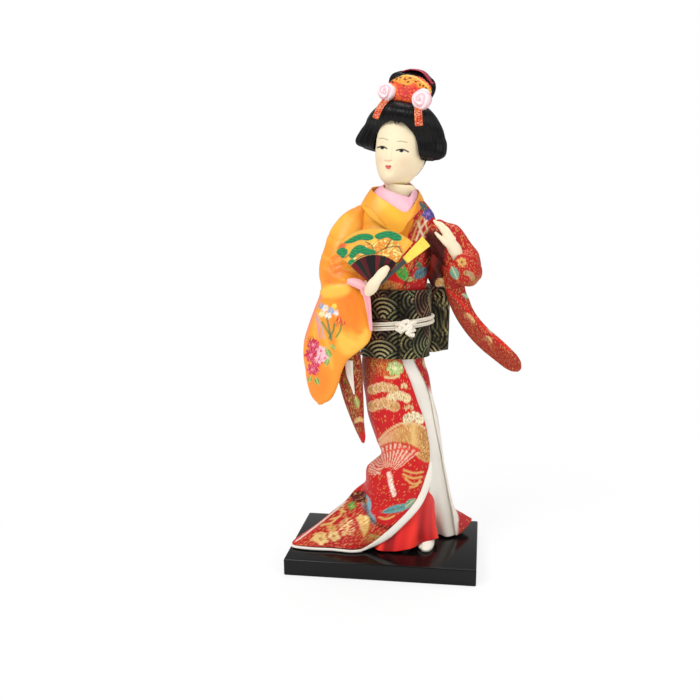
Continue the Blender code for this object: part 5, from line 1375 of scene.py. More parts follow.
@dataclass
class Sleeves:
    """Orange over-sleeve with its pink cuff, and the red sleeves on both arms."""

    def build(self) -> None:
        """Model and dress the sleeves."""
        self.orange()
        self.cuff()
        self.red_end()
        self.left_arm()
        self.left_end()

    def orange(self) -> None:
        """Wide satin sleeve printed with a peony, a pale flower and a blue spray."""
        grid = rounded(ovals([((left + right) / 2, y, z) for z, left, right, y, _, _ in OVER_SLEEVE],
                             [((right - left) / 2, -lead, 0) for _, left, right, _, _, lead in OVER_SLEEVE],
                             [(0, depth, 0) for _, _, _, _, depth, _ in OVER_SLEEVE], 190, 240))
        out = outward(grid)
        px, py = seen(grid)
        front = facing(grid, out)
        paint = Paint(px, py, "#f89a2c", 61)
        drop = np.zeros(px.shape)
        for path, width, depth in SATIN_FOLDS:
            band = paint.stroke(path, width * 0.3, width)
            drop += depth * band
            # each fold is also painted: a painted highlight on a raised fold, painted shade in a hollow one
            paint.lay(band * 0.6, "#ffcb52" if depth > 0 else "#e4601a")
        paint.draw(SLEEVE_LIGHT_AND_SHADE)
        for x, y, size in ((313.5, 345, 6.5), (311, 355, 7), (317, 361, 6), (313, 369, 6.5), (321, 352, 5)):
            paint.blossom(x, y, size, "#d7264e", "#f6a5b4", 7, 0)
        paint.draw(SLEEVE_FLOWERS)
        back = Paint(np.linspace(0, 84, px.shape[1])[None, :] * np.ones(px.shape), grid[..., 2], "#f6962a",
                     62)
        for x, y in ((18, 104), (30, 120), (12, 128)):
            back.blossom(x, y, 5.5, "#d7264e", "#f6a5b4", 7, 0)
            back.leaf(x + 7, y + 3, 8, 3.4, 50, "#3f8f3a", "#c9d87a")
        paint.under(back, front)
        grid = grid + out * (drop * front)[..., None]
        piece = make_mesh("orange_over_sleeve", grid, paint=paint)
        place_piece(piece, SATIN, "orange_satin", "over_sleeve")

    def cuff(self) -> None:
        """Pink lining showing at the sleeve's opening, from the wrist down its edge."""
        path = run([(-16.6, -17.3, 144.8), (-12.4, -18.3, 144.2), (-8.9, -18.7, 142.4), (-7.2, -18.8, 137.8),
                    (-6.2, -18.8, 131.0), (-5.2, -18.6, 122.0)], 90)
        wide = np.interp(np.linspace(0, 1, 90), [0, 0.15, 0.3, 0.6, 1], [1.1, 2.0, 2.2, 1.6, 0.7])
        grid = rounded(rings(path, (0.35, -1, 0), wide, 0.4, 24))
        paint = Paint(*seen(grid), "#f3a9b0", 63)
        # a painted highlight along the wrist and painted shade down the lining's edge
        paint.lay(paint.stroke([(346, 279), (356, 283), (366, 286)], 3, 3) * 0.8, "#f9c7c8")
        paint.lay(paint.stroke([(363, 288), (367, 300), (369, 320)], 1.4, 2) * 0.7, "#d97c86")
        piece = make_mesh("pink_sleeve_lining", grid, paint=paint)
        place_piece(piece, LINING, "pink_satin", "sleeve_lining")

    def red_end(self) -> None:
        """Red sleeve hanging below the orange one, with its white lining turned out."""
        grid = rounded(ovals([((a + b) / 2, -5.6, z) for z, a, b, _ in RED_END],
                             [((b - a) / 2, -0.8, 0) for _, a, b, _ in RED_END],
                             [(0, d, 0) for _, _, _, d in RED_END], 130, 96))
        paint = Paint(*seen(grid), "#8c1d17", 64)
        paint.draw(RED_END_ART)
        piece = make_mesh("red_sleeve_right_end", grid, paint=paint)
        place_piece(piece, BROCADE, "red_brocade", "under_sleeve_right")
        turned = ((105.0, -19.6, -15.6), (98.0, -18.9, -15.4), (92.5, -16.8, -15.0), (88.6, -15.5, -14.7))
        grid = ovals([((a + b) / 2, -8.6, z) for z, a, b in turned],
                     [((b - a) / 2, 0, 0) for _, a, b in turned], [(0, 0.5, 0)] * 4, 50, 32)
        grid = rounded(grid)
        white = Paint(*seen(grid), "#eee6d8", 65)
        # painted shade of a fold down the white lining
        white.lay(white.stroke([(349, 362), (351, 376), (354, 390)], 1.4, 2) * 0.6, "#cdbfae")
        piece = make_mesh("white_sleeve_lining", grid, paint=white)
        place_piece(piece, LINING, "white_satin", "under_sleeve_lining")

    def left_arm(self) -> None:
        """Left sleeve bent at the elbow, its mouth drawn in round the wrist."""
        arm = ovals([(17, 3.4, 165.0), (23, 3, 164.4), (29.6, 2, 160.8), (35, 0, 154.6), (38.6, -2, 151.6),
                     (42, -3, 149.4),
                     (43.6, -3.4, 148.6)], [(0, 6.6, 0), (0, 6.6, 0), (0, 6.6, 0), (0, 7, 0), (0, 6.8, 0),
                                            (0, 4.6, 0), (0, 2, 0)],
                    [(2.6, 0, 6.8), (3, 0, 7.8), (4.4, 0, 8.2), (5.4, 0, 7.2), (5.2, 0, 6.2), (3.2, 0, 3.8),
                     (1.4, 0, 1.8)],
                    110, 130)
        rise = ((-8.2, 2.4), (-7, 4.8), (-4, 7.2), (0, 8.4), (4, 7.8), (7, 5.6), (8.6, 2.6))
        elbow = ovals([(36.6 + dx, -5.0, 150.8 - 0.3 * dx) for dx, _ in rise],
                      [(0, r * 0.86, 0) for _, r in rise], [(r * 0.1, 0, r) for _, r in rise], 110, 150)
        gather = ovals([(25.4, 4.4, 141.6), (24.4, 4.0, 148), (23.6, 3.8, 156), (23.0, 3.5, 163)],
                       [(4.4, 0, 0), (6.0, 0, 0), (6.4, 0, 0), (5.4, 0, 0)],
                       [(0, 2.0, 0), (0, 3.2, 0), (0, 4.0, 0), (0, 4.0, 0)], 70, 70)
        made = []
        for name, grid in (("arm", rounded(arm)), ("elbow", rounded(elbow)), ("gather", rounded(gather))):
            out = outward(grid)
            px, py = seen(grid)
            slack = 0.35 * np.sin(grid[..., 0] * 0.9 + grid[..., 2] * 0.5) * np.clip((grid[..., 2] - 140)
                                                                                     / 8, 0, 1)
            grid = grid + out * slack[..., None]
            if name == "elbow":
                # the mouth of the sleeve is cut off along a slope, with its lining dipping inside
                slope_x, slope_z = -0.762, 0.648
                beyond = slope_x * (grid[..., 0] - 37.4) + slope_z * (grid[..., 2] - 160.6)
                ahead = np.clip((-3.0 - grid[..., 1]) / 2, 0, 1)
                over = np.maximum(beyond, 0) * ahead
                grid = grid - np.array((slope_x, 0, slope_z)) * (over + 0.9
                                                                 * np.clip(over / 1.5, 0, 1))[..., None]
            paint = Paint(px, py, "#b51a1a", 66)
            paint.strew(0.1, "#cf9350", 0.7)
            if name == "elbow":
                # the dipped mouth is painted dark maroon: painted shade inside the sleeve's opening
                paint.lay(np.clip(over / 0.8, 0, 1) * 0.95, "#5d0d10")
            if name == "gather":
                # the gather fills the gap between bodice and arm and is painted near black as painted shade,
                # with a less shaded red patch
                paint.lay(np.ones(px.shape) * 0.95, "#33070a", 0.02)
                paint.lay(paint.shape([(422, 240), (433, 236), (437, 254), (434, 268), (427, 280),
                                       (420, 262)], 5) * 0.8,
                          "#8c0e12", 0.05)
            inside = np.clip((447 - px) / 3, 0, 1) * np.clip((py - 226) / 8, 0, 1) * np.clip((290 - py) / 5,
                                                                                             0, 1)
            # painted shade on the arm where it lies in the dark gap beside the bodice
            if name == "arm":
                paint.lay(inside * 0.94, "#33070a", 0.02)
            paint.draw(ELBOW_ART)
            made.append(make_mesh(name, grid, paint=paint))
        piece = joined("red_left_sleeve", made)
        place_piece(piece, BROCADE, "red_brocade", "left_sleeve")

    def left_end(self) -> None:
        """Long hanging end of the left sleeve, red lining on its inner half."""
        path = run([(31.8, -0.5, 151.0), (32.4, 1.4, 144.0), (34.0, 2.4, 136.0), (38.8, 3.4, 126.0),
                    (46.0, 3.8, 117.2), (55.6, 3.8, 109.0), (61.2, 3.6, 104.2), (65.0, 3.4, 100.6)], 150)
        along = np.linspace(0, 1, 150)
        half = np.interp(along, [0, 0.2, 0.45, 0.65, 0.85, 0.93, 1.0], [5.2, 4.8, 4.6, 5.0, 4.4, 3.4, 1.6])
        deep = np.interp(along, [0, 0.3, 0.8, 0.93, 1.0], [3.4, 3.0, 2.4, 1.6, 0.7])
        grid = rounded(rings(path, (0, -1, 0), half, deep, 90))
        out = outward(grid)
        px, py = seen(grid)
        paint = Paint(px, py, "#a4201a", 67)
        paint.draw(DROP_ART)
        for x, y, turn in ((490, 330, 60), (466, 296, 30), (512, 346, 50), (501, 331, 20)):
            paint.leaf(x, y, 10, 4.4, turn, "#4f9a8a", "#dcd29a")
        paint.lay(paint.shape([(444, 290), (452, 296), (470, 318), (492, 342), (512, 356), (520, 368),
                               (506, 366), (478, 346), (456, 322), (442, 300)], 2) * 0.75, "#8d1014", 0.15)
        groove = paint.stroke([(449, 291), (460, 301), (482, 325), (509, 349)], 2.0, 2.0)
        paint.lay(groove, "#e02018")
        fold = 0.5 * paint.stroke([(458, 290), (478, 308), (500, 330)], 2, 6) - 0.7 * groove
        grid = grid + out * (fold * facing(grid, out))[..., None]
        piece = make_mesh("red_left_sleeve_end", grid, paint=paint)
        place_piece(piece, BROCADE, "red_brocade", "left_sleeve_drop")


@dataclass
class Hands:
    """Moulded hands: the right one holds the fan, the left one lifts from its sleeve."""

    def build(self) -> None:
        """Model both hands from a palm and separate fingers."""
        self.hand("right_hand", "hand_right", (
            ([(-8.0, -15.4, 140.4), (-5.4, -20.6, 141.6), (-2.6, -23.6, 145.4), (0.4, -23.6, 149.2),
              (2.8, -23.3, 151.8)],
             (3.2, 2.9, 2.5, 2.2, 1.5), 1.9),
            ([(-7.6, -15.0, 142.0), (-5.0, -17.0, 143.2), (-2.8, -17.9, 144.6)], (2.6, 1.5, 1.1), 1.2),
            ([(-7.8, -15.0, 140.6), (-5.2, -17.0, 141.0), (-3.0, -17.9, 141.8)], (2.6, 1.5, 1.1), 1.2),
            ([(-9.6, -12.6, 141.4), (-7.6, -15.2, 141.0), (-5.2, -18.6, 141.2)], (3.2, 3.3, 2.6), 2.2)))
        self.hand("left_hand", "hand_left", (
            ([(35.0, -6.0, 154.4), (33.2, -8.4, 158.4), (30.6, -10.2, 162.6), (28.4, -11.0, 165.6)],
             (3.0, 2.9, 2.9, 2.3), 2.3),
            ([(30.6, -10.2, 163.4), (28.0, -11.4, 167.4), (25.4, -11.9, 170.4), (23.0, -12.0, 172.6)],
             (2.0, 1.5, 1.15, 0.6), 1.2),
            ([(31.4, -9.8, 163.6), (29.4, -10.9, 167.4), (27.0, -11.4, 170.2), (25.0, -11.5, 171.8)],
             (1.9, 1.4, 1.1, 0.6), 1.1),
            ([(31.6, -10.2, 160.2), (29.0, -12.2, 162.4), (26.2, -12.8, 164.8), (23.8, -12.9, 167.2)],
             (2.0, 1.4, 1.0, 0.6), 1.2)))

    def hand(self, name: str, node: str, fingers: tuple) -> None:
        """Merge finger and palm forms into one hand.

        Args:
            name: Name of the piece.
            node: Solid that it stands for.
            fingers: Path, half widths along it and half depth of each form.
        """
        made = []
        for k, (path, widths, deep) in enumerate(fingers):
            line = run(path, 44)
            wide = spline(np.array(widths), np.linspace(0, len(widths) - 1, 44))
            knuckle = 1 + 0.06 * np.cos(np.linspace(0, 5 * math.pi, 44))
            grid = rounded(rings(line, (0, -1, 0.25), wide * knuckle, np.minimum(wide, deep), 28))
            paint = Paint(*seen(grid), "#f4e4c4", 70 + k)
            paint.lay(np.linspace(0, 1, len(grid))[:, None] ** 6 * 0.3 * np.ones(grid.shape[:2]), "#eec3a0")
            made.append(make_mesh(f"{name}_{k}", grid, paint=paint))
        place_piece(joined(name, made), GOFUN, "skin", node)


# red and gold clouds printed on the fan's leaf
LEAF_CLOUDS = (
    ("wash", "disc", (361, 262, 8, 3, -25, 2), 0.8, "#b8402c"),
    ("wash", "disc", (342, 246.5, 5, 3, -35, 2), 0.8, "#d8402a"),
    ("wash", "shape", ([(404, 236), (416, 240), (424, 250), (412, 262), (404, 258)], 3), 0.8, "#f7b43a"),
    ("wash", "disc", (372, 240, 5, 3, 0, 2), 0.7, "#f3c94a"),
    ("wash", "disc", (360, 250, 6, 3, 0, 3), 0.5, "#f0e0a0"))

# lines of the pine branches
BRANCHES = (
    [(352, 264), (362, 256), (374, 254), (386, 248), (398, 246)], [(374, 254), (372, 246), (366, 242)],
    [(386, 248), (390, 242), (393, 238)], [(345, 258), (352, 253), (360, 252)], [(398, 246), (402, 252)])

# outlines of the pine crowns
PINES = (
    [(344, 243), (350, 238.5), (358, 234.5), (366, 233.5), (372, 235), (373.5, 238.5), (368, 240.5),
     (360, 240), (352, 243)],
    [(374.5, 236), (380, 232.5), (388, 231), (396, 232.5), (401.5, 236.5), (400.5, 240.5), (394, 240.5),
     (387, 237.5), (379, 239.5)],
    [(336, 256), (337.5, 250), (343, 247.5), (347.5, 250), (347, 254), (343, 258.5), (338.5, 260)],
    [(349, 256), (352, 249.5), (357, 245.5), (362, 245), (368, 248), (375, 250.5), (375, 254), (367, 255),
     (359, 253.5), (353, 258.5)],
    [(348, 262), (352, 259), (355.5, 261), (353, 265), (349, 265.5)])


@dataclass
class Fan:
    """Folding fan printed with pines over gold, on lacquered ribs."""

    pivot: tuple[float, float, float] = (-3.0, -21.0, 142.4)
    inner: float = 15.0
    outer: float = 27.0
    first: float = 50.0
    last: float = 139.0
    pleats: int = 24
    ribs: int = 9

    def point(self, radius: np.ndarray, degrees: np.ndarray, back: np.ndarray) -> np.ndarray:
        """Points of the fan's plane, pushed back from it."""
        turn = np.radians(degrees)
        return np.stack(np.broadcast_arrays(self.pivot[0] + radius * np.cos(turn), self.pivot[1] + back,
                                            self.pivot[2] + radius * np.sin(turn)), axis=-1)

    def build(self) -> None:
        """Model the leaf, the ribs, the two guards and the rivet."""
        turn = np.linspace(self.first, self.last, self.pleats * 12 + 1)[None, :]
        far = np.interp(turn, (118, self.last), (self.outer, self.outer - 2.2))
        reach = self.inner + (far - self.inner) * np.linspace(0, 1, 60)[:, None]
        wave = np.linspace(0, self.pleats, self.pleats * 12 + 1)[None, :]
        crease = 0.25 * (2 * np.abs(2 * ((wave / 2) % 1) - 1) - 1)
        grid = self.point(reach, turn, crease * np.ones(reach.shape))
        px, py = seen(grid)
        paint = Paint(px, py, "#f0b040", 81)
        # printed gold clouds, cream and rust between dark branch lines
        blotch = np.sin(px * 0.62 + 2.1 * np.sin(py * 0.53 + px * 0.21)) * np.sin(py * 0.85 + 2.2
                                                                                  * np.sin(px * 0.37))
        middle = paint.shape([(352, 252), (368, 243), (384, 238), (400, 243), (404, 258), (384, 262),
                              (356, 266)], 3)
        paint.lay(middle * (blotch > 0.25) * 0.9, "#f6e08a")
        paint.lay(middle * (blotch < -0.3) * 0.85, "#e07a2a")
        paint.lay(middle * (np.abs(blotch - 0.25) < 0.1) * 0.8, "#6a3a14")
        paint.draw(LEAF_CLOUDS)
        for path in BRANCHES:
            paint.lay(paint.stroke(path, 0.9), "#4a2c14")
        for corners in PINES:
            mask = paint.shape(corners, 0.8)
            paint.lay(mask, "#0e7a52")
            lift = [(x, y - 1.3) for x, y in corners]
            paint.lay(paint.shape(lift, 0.8) * mask * (np.sin(py * 2.3 + 1.6 * np.sin(px * 0.4)) > 0.1)
                      * 0.8, "#27a04a")
            paint.lay(mask * (paint.dice.random(px.shape) < 0.1) * 0.8, "#0a3f3a")
        edge = (np.abs(reach - far) < 0.3) | (np.abs(reach - self.inner) < 0.35)
        paint.lay(edge * np.ones(px.shape) * 0.7, "#c79a3c", 0.2)
        piece = make_mesh("fan_leaf_printed", grid - (0, 0.16, 0), grid + (0, 0.16, 0), False, paint)
        place_piece(piece, PAPER, "fan_paper", "fan_leaf")
        ribs = []
        for k in range(self.ribs):
            turn = self.first + (self.last - self.first) * (k + 0.5) / self.ribs
            line = self.point(np.linspace(-1.6, self.inner - 0.1, 24), np.full(24, turn), np.full(24, 0.0))
            wide = np.interp(np.linspace(0, 1, 24), [0, 0.15, 0.5, 0.8, 1], [0.5, 0.55, 0.85, 1.25, 1.3])
            grid = rounded(rings(line, (0, -1, 0), wide, 0.2, 14), 3)
            paint = Paint(*seen(grid), ("#1c0a0c", "#52101a", "#16211a", "#6a1620", "#111012")[k % 5], 82)
            ribs.append(make_mesh(f"rib_{k}", grid, paint=paint))
        place_piece(joined("fan_inner_ribs", ribs), RIB_WOOD, "fan_sticks", "fan_ribs")
        for name, turn, back, reach, widths, node in (
                ("fan_guard_right", self.first - 7.5, -0.85, 31.5, [0.8, 0.9, 1.0, 1.1, 1.7, 2.8],
                 "fan_guard_front"),
                ("fan_guard_left", self.last - 3, 0.85, self.outer - 2.4, [0.7, 0.8, 0.8, 0.8, 0.8, 0.9],
                 "fan_guard_back")):
            line = self.point(np.linspace(-1.8, reach, 70), np.full(70, turn), np.full(70, back))
            wide = np.interp(np.linspace(0, 1, 70), [0, 0.1, 0.4, 0.59, 0.63, 1], widths)
            grid = rounded(rings(line, (0, -1, 0), wide, 0.24, 16), 3)
            paint = Paint(*seen(grid), "#3f4440", 83)
            if name == "fan_guard_right":
                # its outer end is faced with the leaf's bright paper
                along = np.linspace(0, 1, len(grid))[:, None] * np.ones((1, 16))
                paint.lay(np.clip((along - 0.6) / 0.02, 0, 1), "#f8d95a")
                paint.lay(np.clip((along - 0.6) / 0.02, 0, 1) * (paint.dice.random(along.shape) < 0.08),
                          "#f7c832")
            piece = make_mesh(name, grid, paint=paint)
            place_piece(piece, RIB_WOOD, "fan_sticks", node)
        bpy.ops.object.select_all(action="DESELECT")
        x, y, z = self.pivot
        bpy.ops.mesh.primitive_cylinder_add(vertices=24, radius=0.9 * MM, depth=2.8 * MM,
                                            location=(x * MM, y * MM, z * MM),
                                            rotation=(math.pi / 2, 0, 0))
        rivet = bpy.context.object
        rivet.name = "fan_rivet_brass"
        bpy.ops.object.transform_apply(location=True, rotation=True, scale=True)
        bpy.ops.object.mode_set(mode="EDIT")
        bpy.ops.mesh.select_all(action="SELECT")
        bpy.ops.mesh.bevel(offset=0.2 * MM, segments=3, affect="EDGES", offset_type="WIDTH")
        bpy.ops.object.mode_set(mode="OBJECT")
        place_piece(rivet, BRASS, "rivet", "fan_rivet")


# brows, a painted shadow under the nose and painted shade down the side of the nose
FACE_LINES = (
    ("wash", "stroke", ([(379.2, 138.5), (383.6, 138.4), (387.9, 140.1)], 0.9, 0.7), 0.7, "#8a7a66"),
    ("wash", "stroke", ([(397.4, 141.4), (402.0, 141.3), (407.0, 142.4)], 0.9, 0.7), 0.7, "#8a7a66"),
    ("wash", "stroke", ([(384.9, 160.2), (388.2, 161.1), (391.7, 160.3)], 0.8, 0.7), 0.8, "#cf9f78"),
    ("wash", "stroke", ([(392.4, 146.5), (391.6, 152), (391.2, 157)], 1.0, 0.7), 0.5, "#e6cda2"))

# painted lips
LIPS = (
    ("wash", "shape", ([(385.4, 166.2), (387.0, 164.8), (388.5, 165.5), (389.8, 164.8), (391.5, 166.2),
        (388.5, 167.0)], 0.5), 0.9, "#cf343c"),
    ("wash", "shape", ([(386.0, 166.8), (388.5, 167.1), (391.0, 166.7), (390.0, 168.8), (388.4, 169.2),
        (386.8, 168.7)], 0.5), 0.9, "#db464c"),
    ("wash", "stroke", ([(385.5, 166.5), (388.5, 166.9), (391.4, 166.4)], 0.5, 0.4), 0.7, "#8c1e28"))

# raised and hollow features: middle, half sizes, turn and height
FEATURES = (
    (390.6, 151, 2.6, 6.5, 12, 0.35), (388.8, 157, 2.9, 4.2, 10, 0.75), (388.1, 159.2, 3.2, 2.0, 5, 0.35),
    (381.8, 147.4, 6, 3.4, 0, -0.4), (402, 150.6, 7.5, 3.6, 6, -0.4), (388.4, 166.8, 4.4, 3.0, 0, 0.4),
    (389.6, 172.6, 3.4, 2.0, 0, -0.2), (390.5, 178, 5, 4, 0, 0.3), (400, 160, 8, 7, 0, 0.2),
    (380, 157, 5, 6, 0, 0.15))

# each eye: upper lid, middle of the iris, outline of the white
EYES = (
    ([(377.3, 147.5), (380.0, 146.5), (383.0, 146.6), (386.6, 148.5)], (381.7, 147.7), [(378.0, 147.6),
        (381.8, 146.8), (386.0, 148.4), (382.0, 149.0)]),
    ([(396.5, 150.4), (400.0, 149.5), (404.2, 149.8), (408.5, 151.9)], (401.5, 150.8), [(397.0, 150.6),
        (401.6, 149.9), (407.8, 151.9), (402.0, 152.3)]))

# rings of the head: height, middle, half width, front, back, taper of the front
HEAD_RINGS = (
    (-15.4, 1, 4.9, 7.8, 6.6, 0.42), (-14, 1, 6.7, 9.8, 8.0, 0.4), (-11.5, 1, 8.2, 11, 9.3, 0.33),
    (-8, 1, 9.6, 11.4, 10.6, 0.25), (-4, 1, 10.5, 11.5, 11.4, 0.18), (0, 1, 10.9, 11.3, 12, 0.12),
    (4, 1, 11, 11.3, 12.3, 0.1), (8, 1, 10.6, 10.9, 12.2, 0.08), (12, 1, 9.4, 9.5, 11.2, 0.05),
    (15, 1, 7.6, 7.4, 9.2, 0), (17, 1, 5, 4.8, 6.4, 0), (18, 1, 2, 2, 2.8, 0))

# dyed patches of the hair cloth
CLOTH_PATCHES = (
    ("wash", "shape", ([(391, 78), (401, 74.6), (412, 75.4), (418, 79.4), (411, 84), (405, 85.6),
        (399, 82.6), (393, 81)], 1.6), 0.95, "#f3a53a", 0.15),
    ("wash", "shape", ([(415, 82), (426, 82.6), (431, 91), (424, 89.4), (418, 86.6)], 1.6), 0.9,
     "#f3982e", 0.15),
    ("wash", "shape", ([(400, 88), (415, 86.6), (417, 97.6), (405, 99), (398, 95)], 1.6), 0.9, "#cc1c2c",
     0.15),
    ("wash", "shape", ([(388, 84), (394, 83), (397, 90), (392, 95)], 1.6), 0.6, "#f08c3a", 0.15))

# ribbons under the roses: side, path, half width
RIBBONS = (
    ("right", [(-7.4, -6.8, 21.4), (-8.6, -10.0, 17.4), (-9.6, -11.2, 12.6)], 1.7),
    ("left", [(8.8, -7.4, 20.6), (10.4, -10.4, 17), (12.0, -11.0, 12.2)], 1.8))


@dataclass
class Head:
    """Painted head on its neck, and the hair dressed over it with its ornaments."""

    centre: tuple[float, float, float] = (5.2, 3.0, 204.4)
    turn: float = -16.0
    tilt: float = 10.0

    def place(self, points: np.ndarray) -> np.ndarray:
        """Points of the head's own frame placed in the figure."""
        t, s = math.radians(self.turn), math.radians(self.tilt)
        swing = np.array([(math.cos(t), -math.sin(t), 0), (math.sin(t), math.cos(t), 0), (0, 0, 1)])
        lean = np.array([(math.cos(s), 0, math.sin(s)), (0, 1, 0), (-math.sin(s), 0, math.cos(s))])
        return np.asarray(points, float) @ (swing @ lean).T + np.array(self.centre)

    def loft(self, table: tuple, rows: int, columns: int) -> np.ndarray:
        """Rings through a table of height, left, right, front and back in the head's frame."""
        return ovals([((a + b) / 2, (f + k) / 2, z) for z, a, b, f, k in table],
                     [((b - a) / 2, 0, 0) for _, a, b, _, _ in table],
                     [(0, (k - f) / 2, 0) for _, _, _, f, k in table], rows, columns)

    def build(self) -> None:
        """Model the head, the hair and the ornaments."""
        self.face()
        self.hair()
        self.ornaments()

    def face(self) -> None:
        """Head and neck with softly raised features under a brushed coat, painted by hand."""
        t = np.linspace(0, 2 * math.pi, 330, endpoint=False)
        ahead = np.cos(t)
        table = [np.stack((x + a * np.sin(t), y - b * ahead, z + 0 * t), -1) for x, y, z, a, b in (
            (5.8, 4.3, 174.5, 6.0, 5.4), (5.6, 4.2, 183, 6.8, 5.9), (5.5, 3.8, 188, 7.0, 6.3))]
        for z, y, half, front, back, taper in HEAD_RINGS:
            depth = np.where(ahead > 0, front, back)
            jaw = 2.0 * math.exp(-((z + 5) / 5) ** 2) * np.exp(-((t - 1.75) / 0.65) ** 2)
            across = 1.06 * half * np.sin(t) * (1 - taper * np.maximum(ahead, 0)) - 0.6 + jaw
            table.append(self.place(np.stack((across, y - depth * ahead, z + 0 * t), -1)))
        grid = spline(np.array(table), np.linspace(0, len(table) - 1, 300))
        grid = rounded(grid)
        out = outward(grid)
        px, py = seen(grid)
        front = facing(grid, out) * (grid[..., 1] < 4)
        paint = Paint(px, py, "#f5e4c0", 91)
        lift = np.zeros(px.shape)
        for x, y, wide, high, turn, rise in FEATURES:
            dx, dy = paint.local(x, y, turn)
            lift += rise * np.exp(-(dx / wide) ** 2 - (dy / high) ** 2)
        grid = grid + out * (lift * front)[..., None]
        for x, y, wide, high in ((403, 162, 8, 6), (379.5, 160, 4.5, 5)):
            paint.lay(np.exp(-((px - x) / wide) ** 2 - ((py - y) / high) ** 2) * 0.22, "#eba98a")
        paint.draw(FACE_LINES)
        for lid, iris, white in EYES:
            paint.lay(paint.shape(white, 0.6) * 0.9, "#e4dac8")
            paint.lay(paint.disc(*iris, 2.1, 1.6, 0, 0.6), "#171211")
            paint.lay(paint.stroke(lid, 1.35, 0.6), "#120e0e")
        paint.draw(LIPS)
        bare = Paint(px, py, "#f5e4c0", 92)
        paint.under(bare, front)
        piece = make_mesh("painted_head", grid, paint=paint)
        place_piece(piece, GOFUN, "skin", "head")

    def combed(self, grid: np.ndarray, bundles: int, seed: int, rise: float = 0.09) -> np.ndarray:
        """Grid grooved along its rows like combed bundles of fibre."""
        dice = np.random.default_rng(seed)
        turn = np.linspace(0, 2 * math.pi, grid.shape[1], endpoint=False)[None, :]
        along = np.linspace(0, 1, len(grid))[:, None]
        wave = np.zeros(grid.shape[:2])
        for k in range(5):
            count = round(bundles * (1 + 0.37 * k))
            wave += np.sin(turn * count + dice.uniform(0, 6) + 0.8 * np.sin(along * 3 + k)) / (1 + k)
        return grid + outward(grid) * (rise * wave)[..., None]

    def opened(self, grid: np.ndarray) -> np.ndarray:
        """Wig with its front set back from the face, up to the cut fringe and the side locks."""
        cut = Paint(*seen(grid), "#000000").shape(
            [(370, 168), (372.4, 156), (374, 148), (376, 138), (379, 130.4), (384, 124.4), (390, 121.6),
             (393.4, 121.8), (395.2, 124.6), (396.6, 122), (398.4, 124.8), (400, 122.4), (404, 124.2),
             (409, 129.2), (413.4, 134.8),
             (416.8, 143.6), (418.8, 155), (421, 160), (421, 176), (396, 190), (376, 182)], 1.2)
        away = unit(grid - EYE)
        return grid + away * (8.0 * cut * facing(grid, outward(grid)) * (grid[..., 1] < 3))[..., None]

    def fibre(self, grid: np.ndarray, seed: int) -> Paint:
        """Black fibre with a few browner strands."""
        paint = Paint(np.linspace(0, 900, grid.shape[1])[None, :] * np.ones(grid.shape[:2]), grid[..., 2],
                      "#0a090a", seed)
        strand = paint.dice.random(grid.shape[1])[None, :]
        paint.lay((strand > 0.8) * np.ones(grid.shape[:2]) * 0.6, "#1c1614")
        return paint

    def hair(self) -> None:
        """Wide winged wig over the nape, and the high bun tied with a dark ribbon."""
        crown = self.loft(((-1.6, -19.6, 17.5, -3.5, 7.5), (-0.8, -22.8, 20, -5, 9),
                           (1.5, -24.0, 22, -5.8, 11), (6, -22.4, 21.3, -6.4, 13.5),
                           (9, -20.2, 19.8, -8, 14.4), (12, -18.6, 18.6, -10.4, 14.6),
                           (15, -16.4, 16.6, -11.4, 13.8), (18, -13.2, 13.8, -10.8, 11.8),
                           (20.6, -9.6, 10, -8.2, 9), (22.4, -5, 5.6, -4.2, 6)), 150, 360)
        nape = self.loft(((-12, -4.2, 3.4, 9, 12.6), (-10.6, -6.8, 6.2, 6.4, 15),
                          (-6.5, -9.4, 8.8, 4.4, 16.6),
                          (-1.5, -10.6, 10.4, 3.6, 17), (3, -10.4, 10.6, 3.4, 16.6), (7, -8, 8.4, 4, 15.4)),
                         90, 200)
        made = []
        for name, table, bundles in (("crown", crown, 46), ("nape_roll", nape, 30)):
            grid = self.combed(rounded(self.place(table)), bundles, 93)
            if name == "crown":
                grid = self.opened(grid)
            made.append(make_mesh(name, grid, paint=self.fibre(grid, 94)))
        place_piece(joined("dressed_wig", made), HAIR, "hair", "wig")
        bun = self.loft(((22, -6, 6, 0, 10), (25, -9.8, 9.4, -1.8, 11), (29, -12.2, 10.8, -2.4, 11.6),
                         (32.5, -11.4, 9.8, -1.8, 10.6), (34.4, -8.4, 6.6, 0.4, 8.4),
                         (35.4, -4.6, 3, 2.2, 6.6)), 90, 240)
        grid = self.combed(rounded(self.place(bun)), 34, 95)
        piece = make_mesh("high_bun", grid, paint=self.fibre(grid, 96))
        place_piece(piece, HAIR, "hair", "topknot")

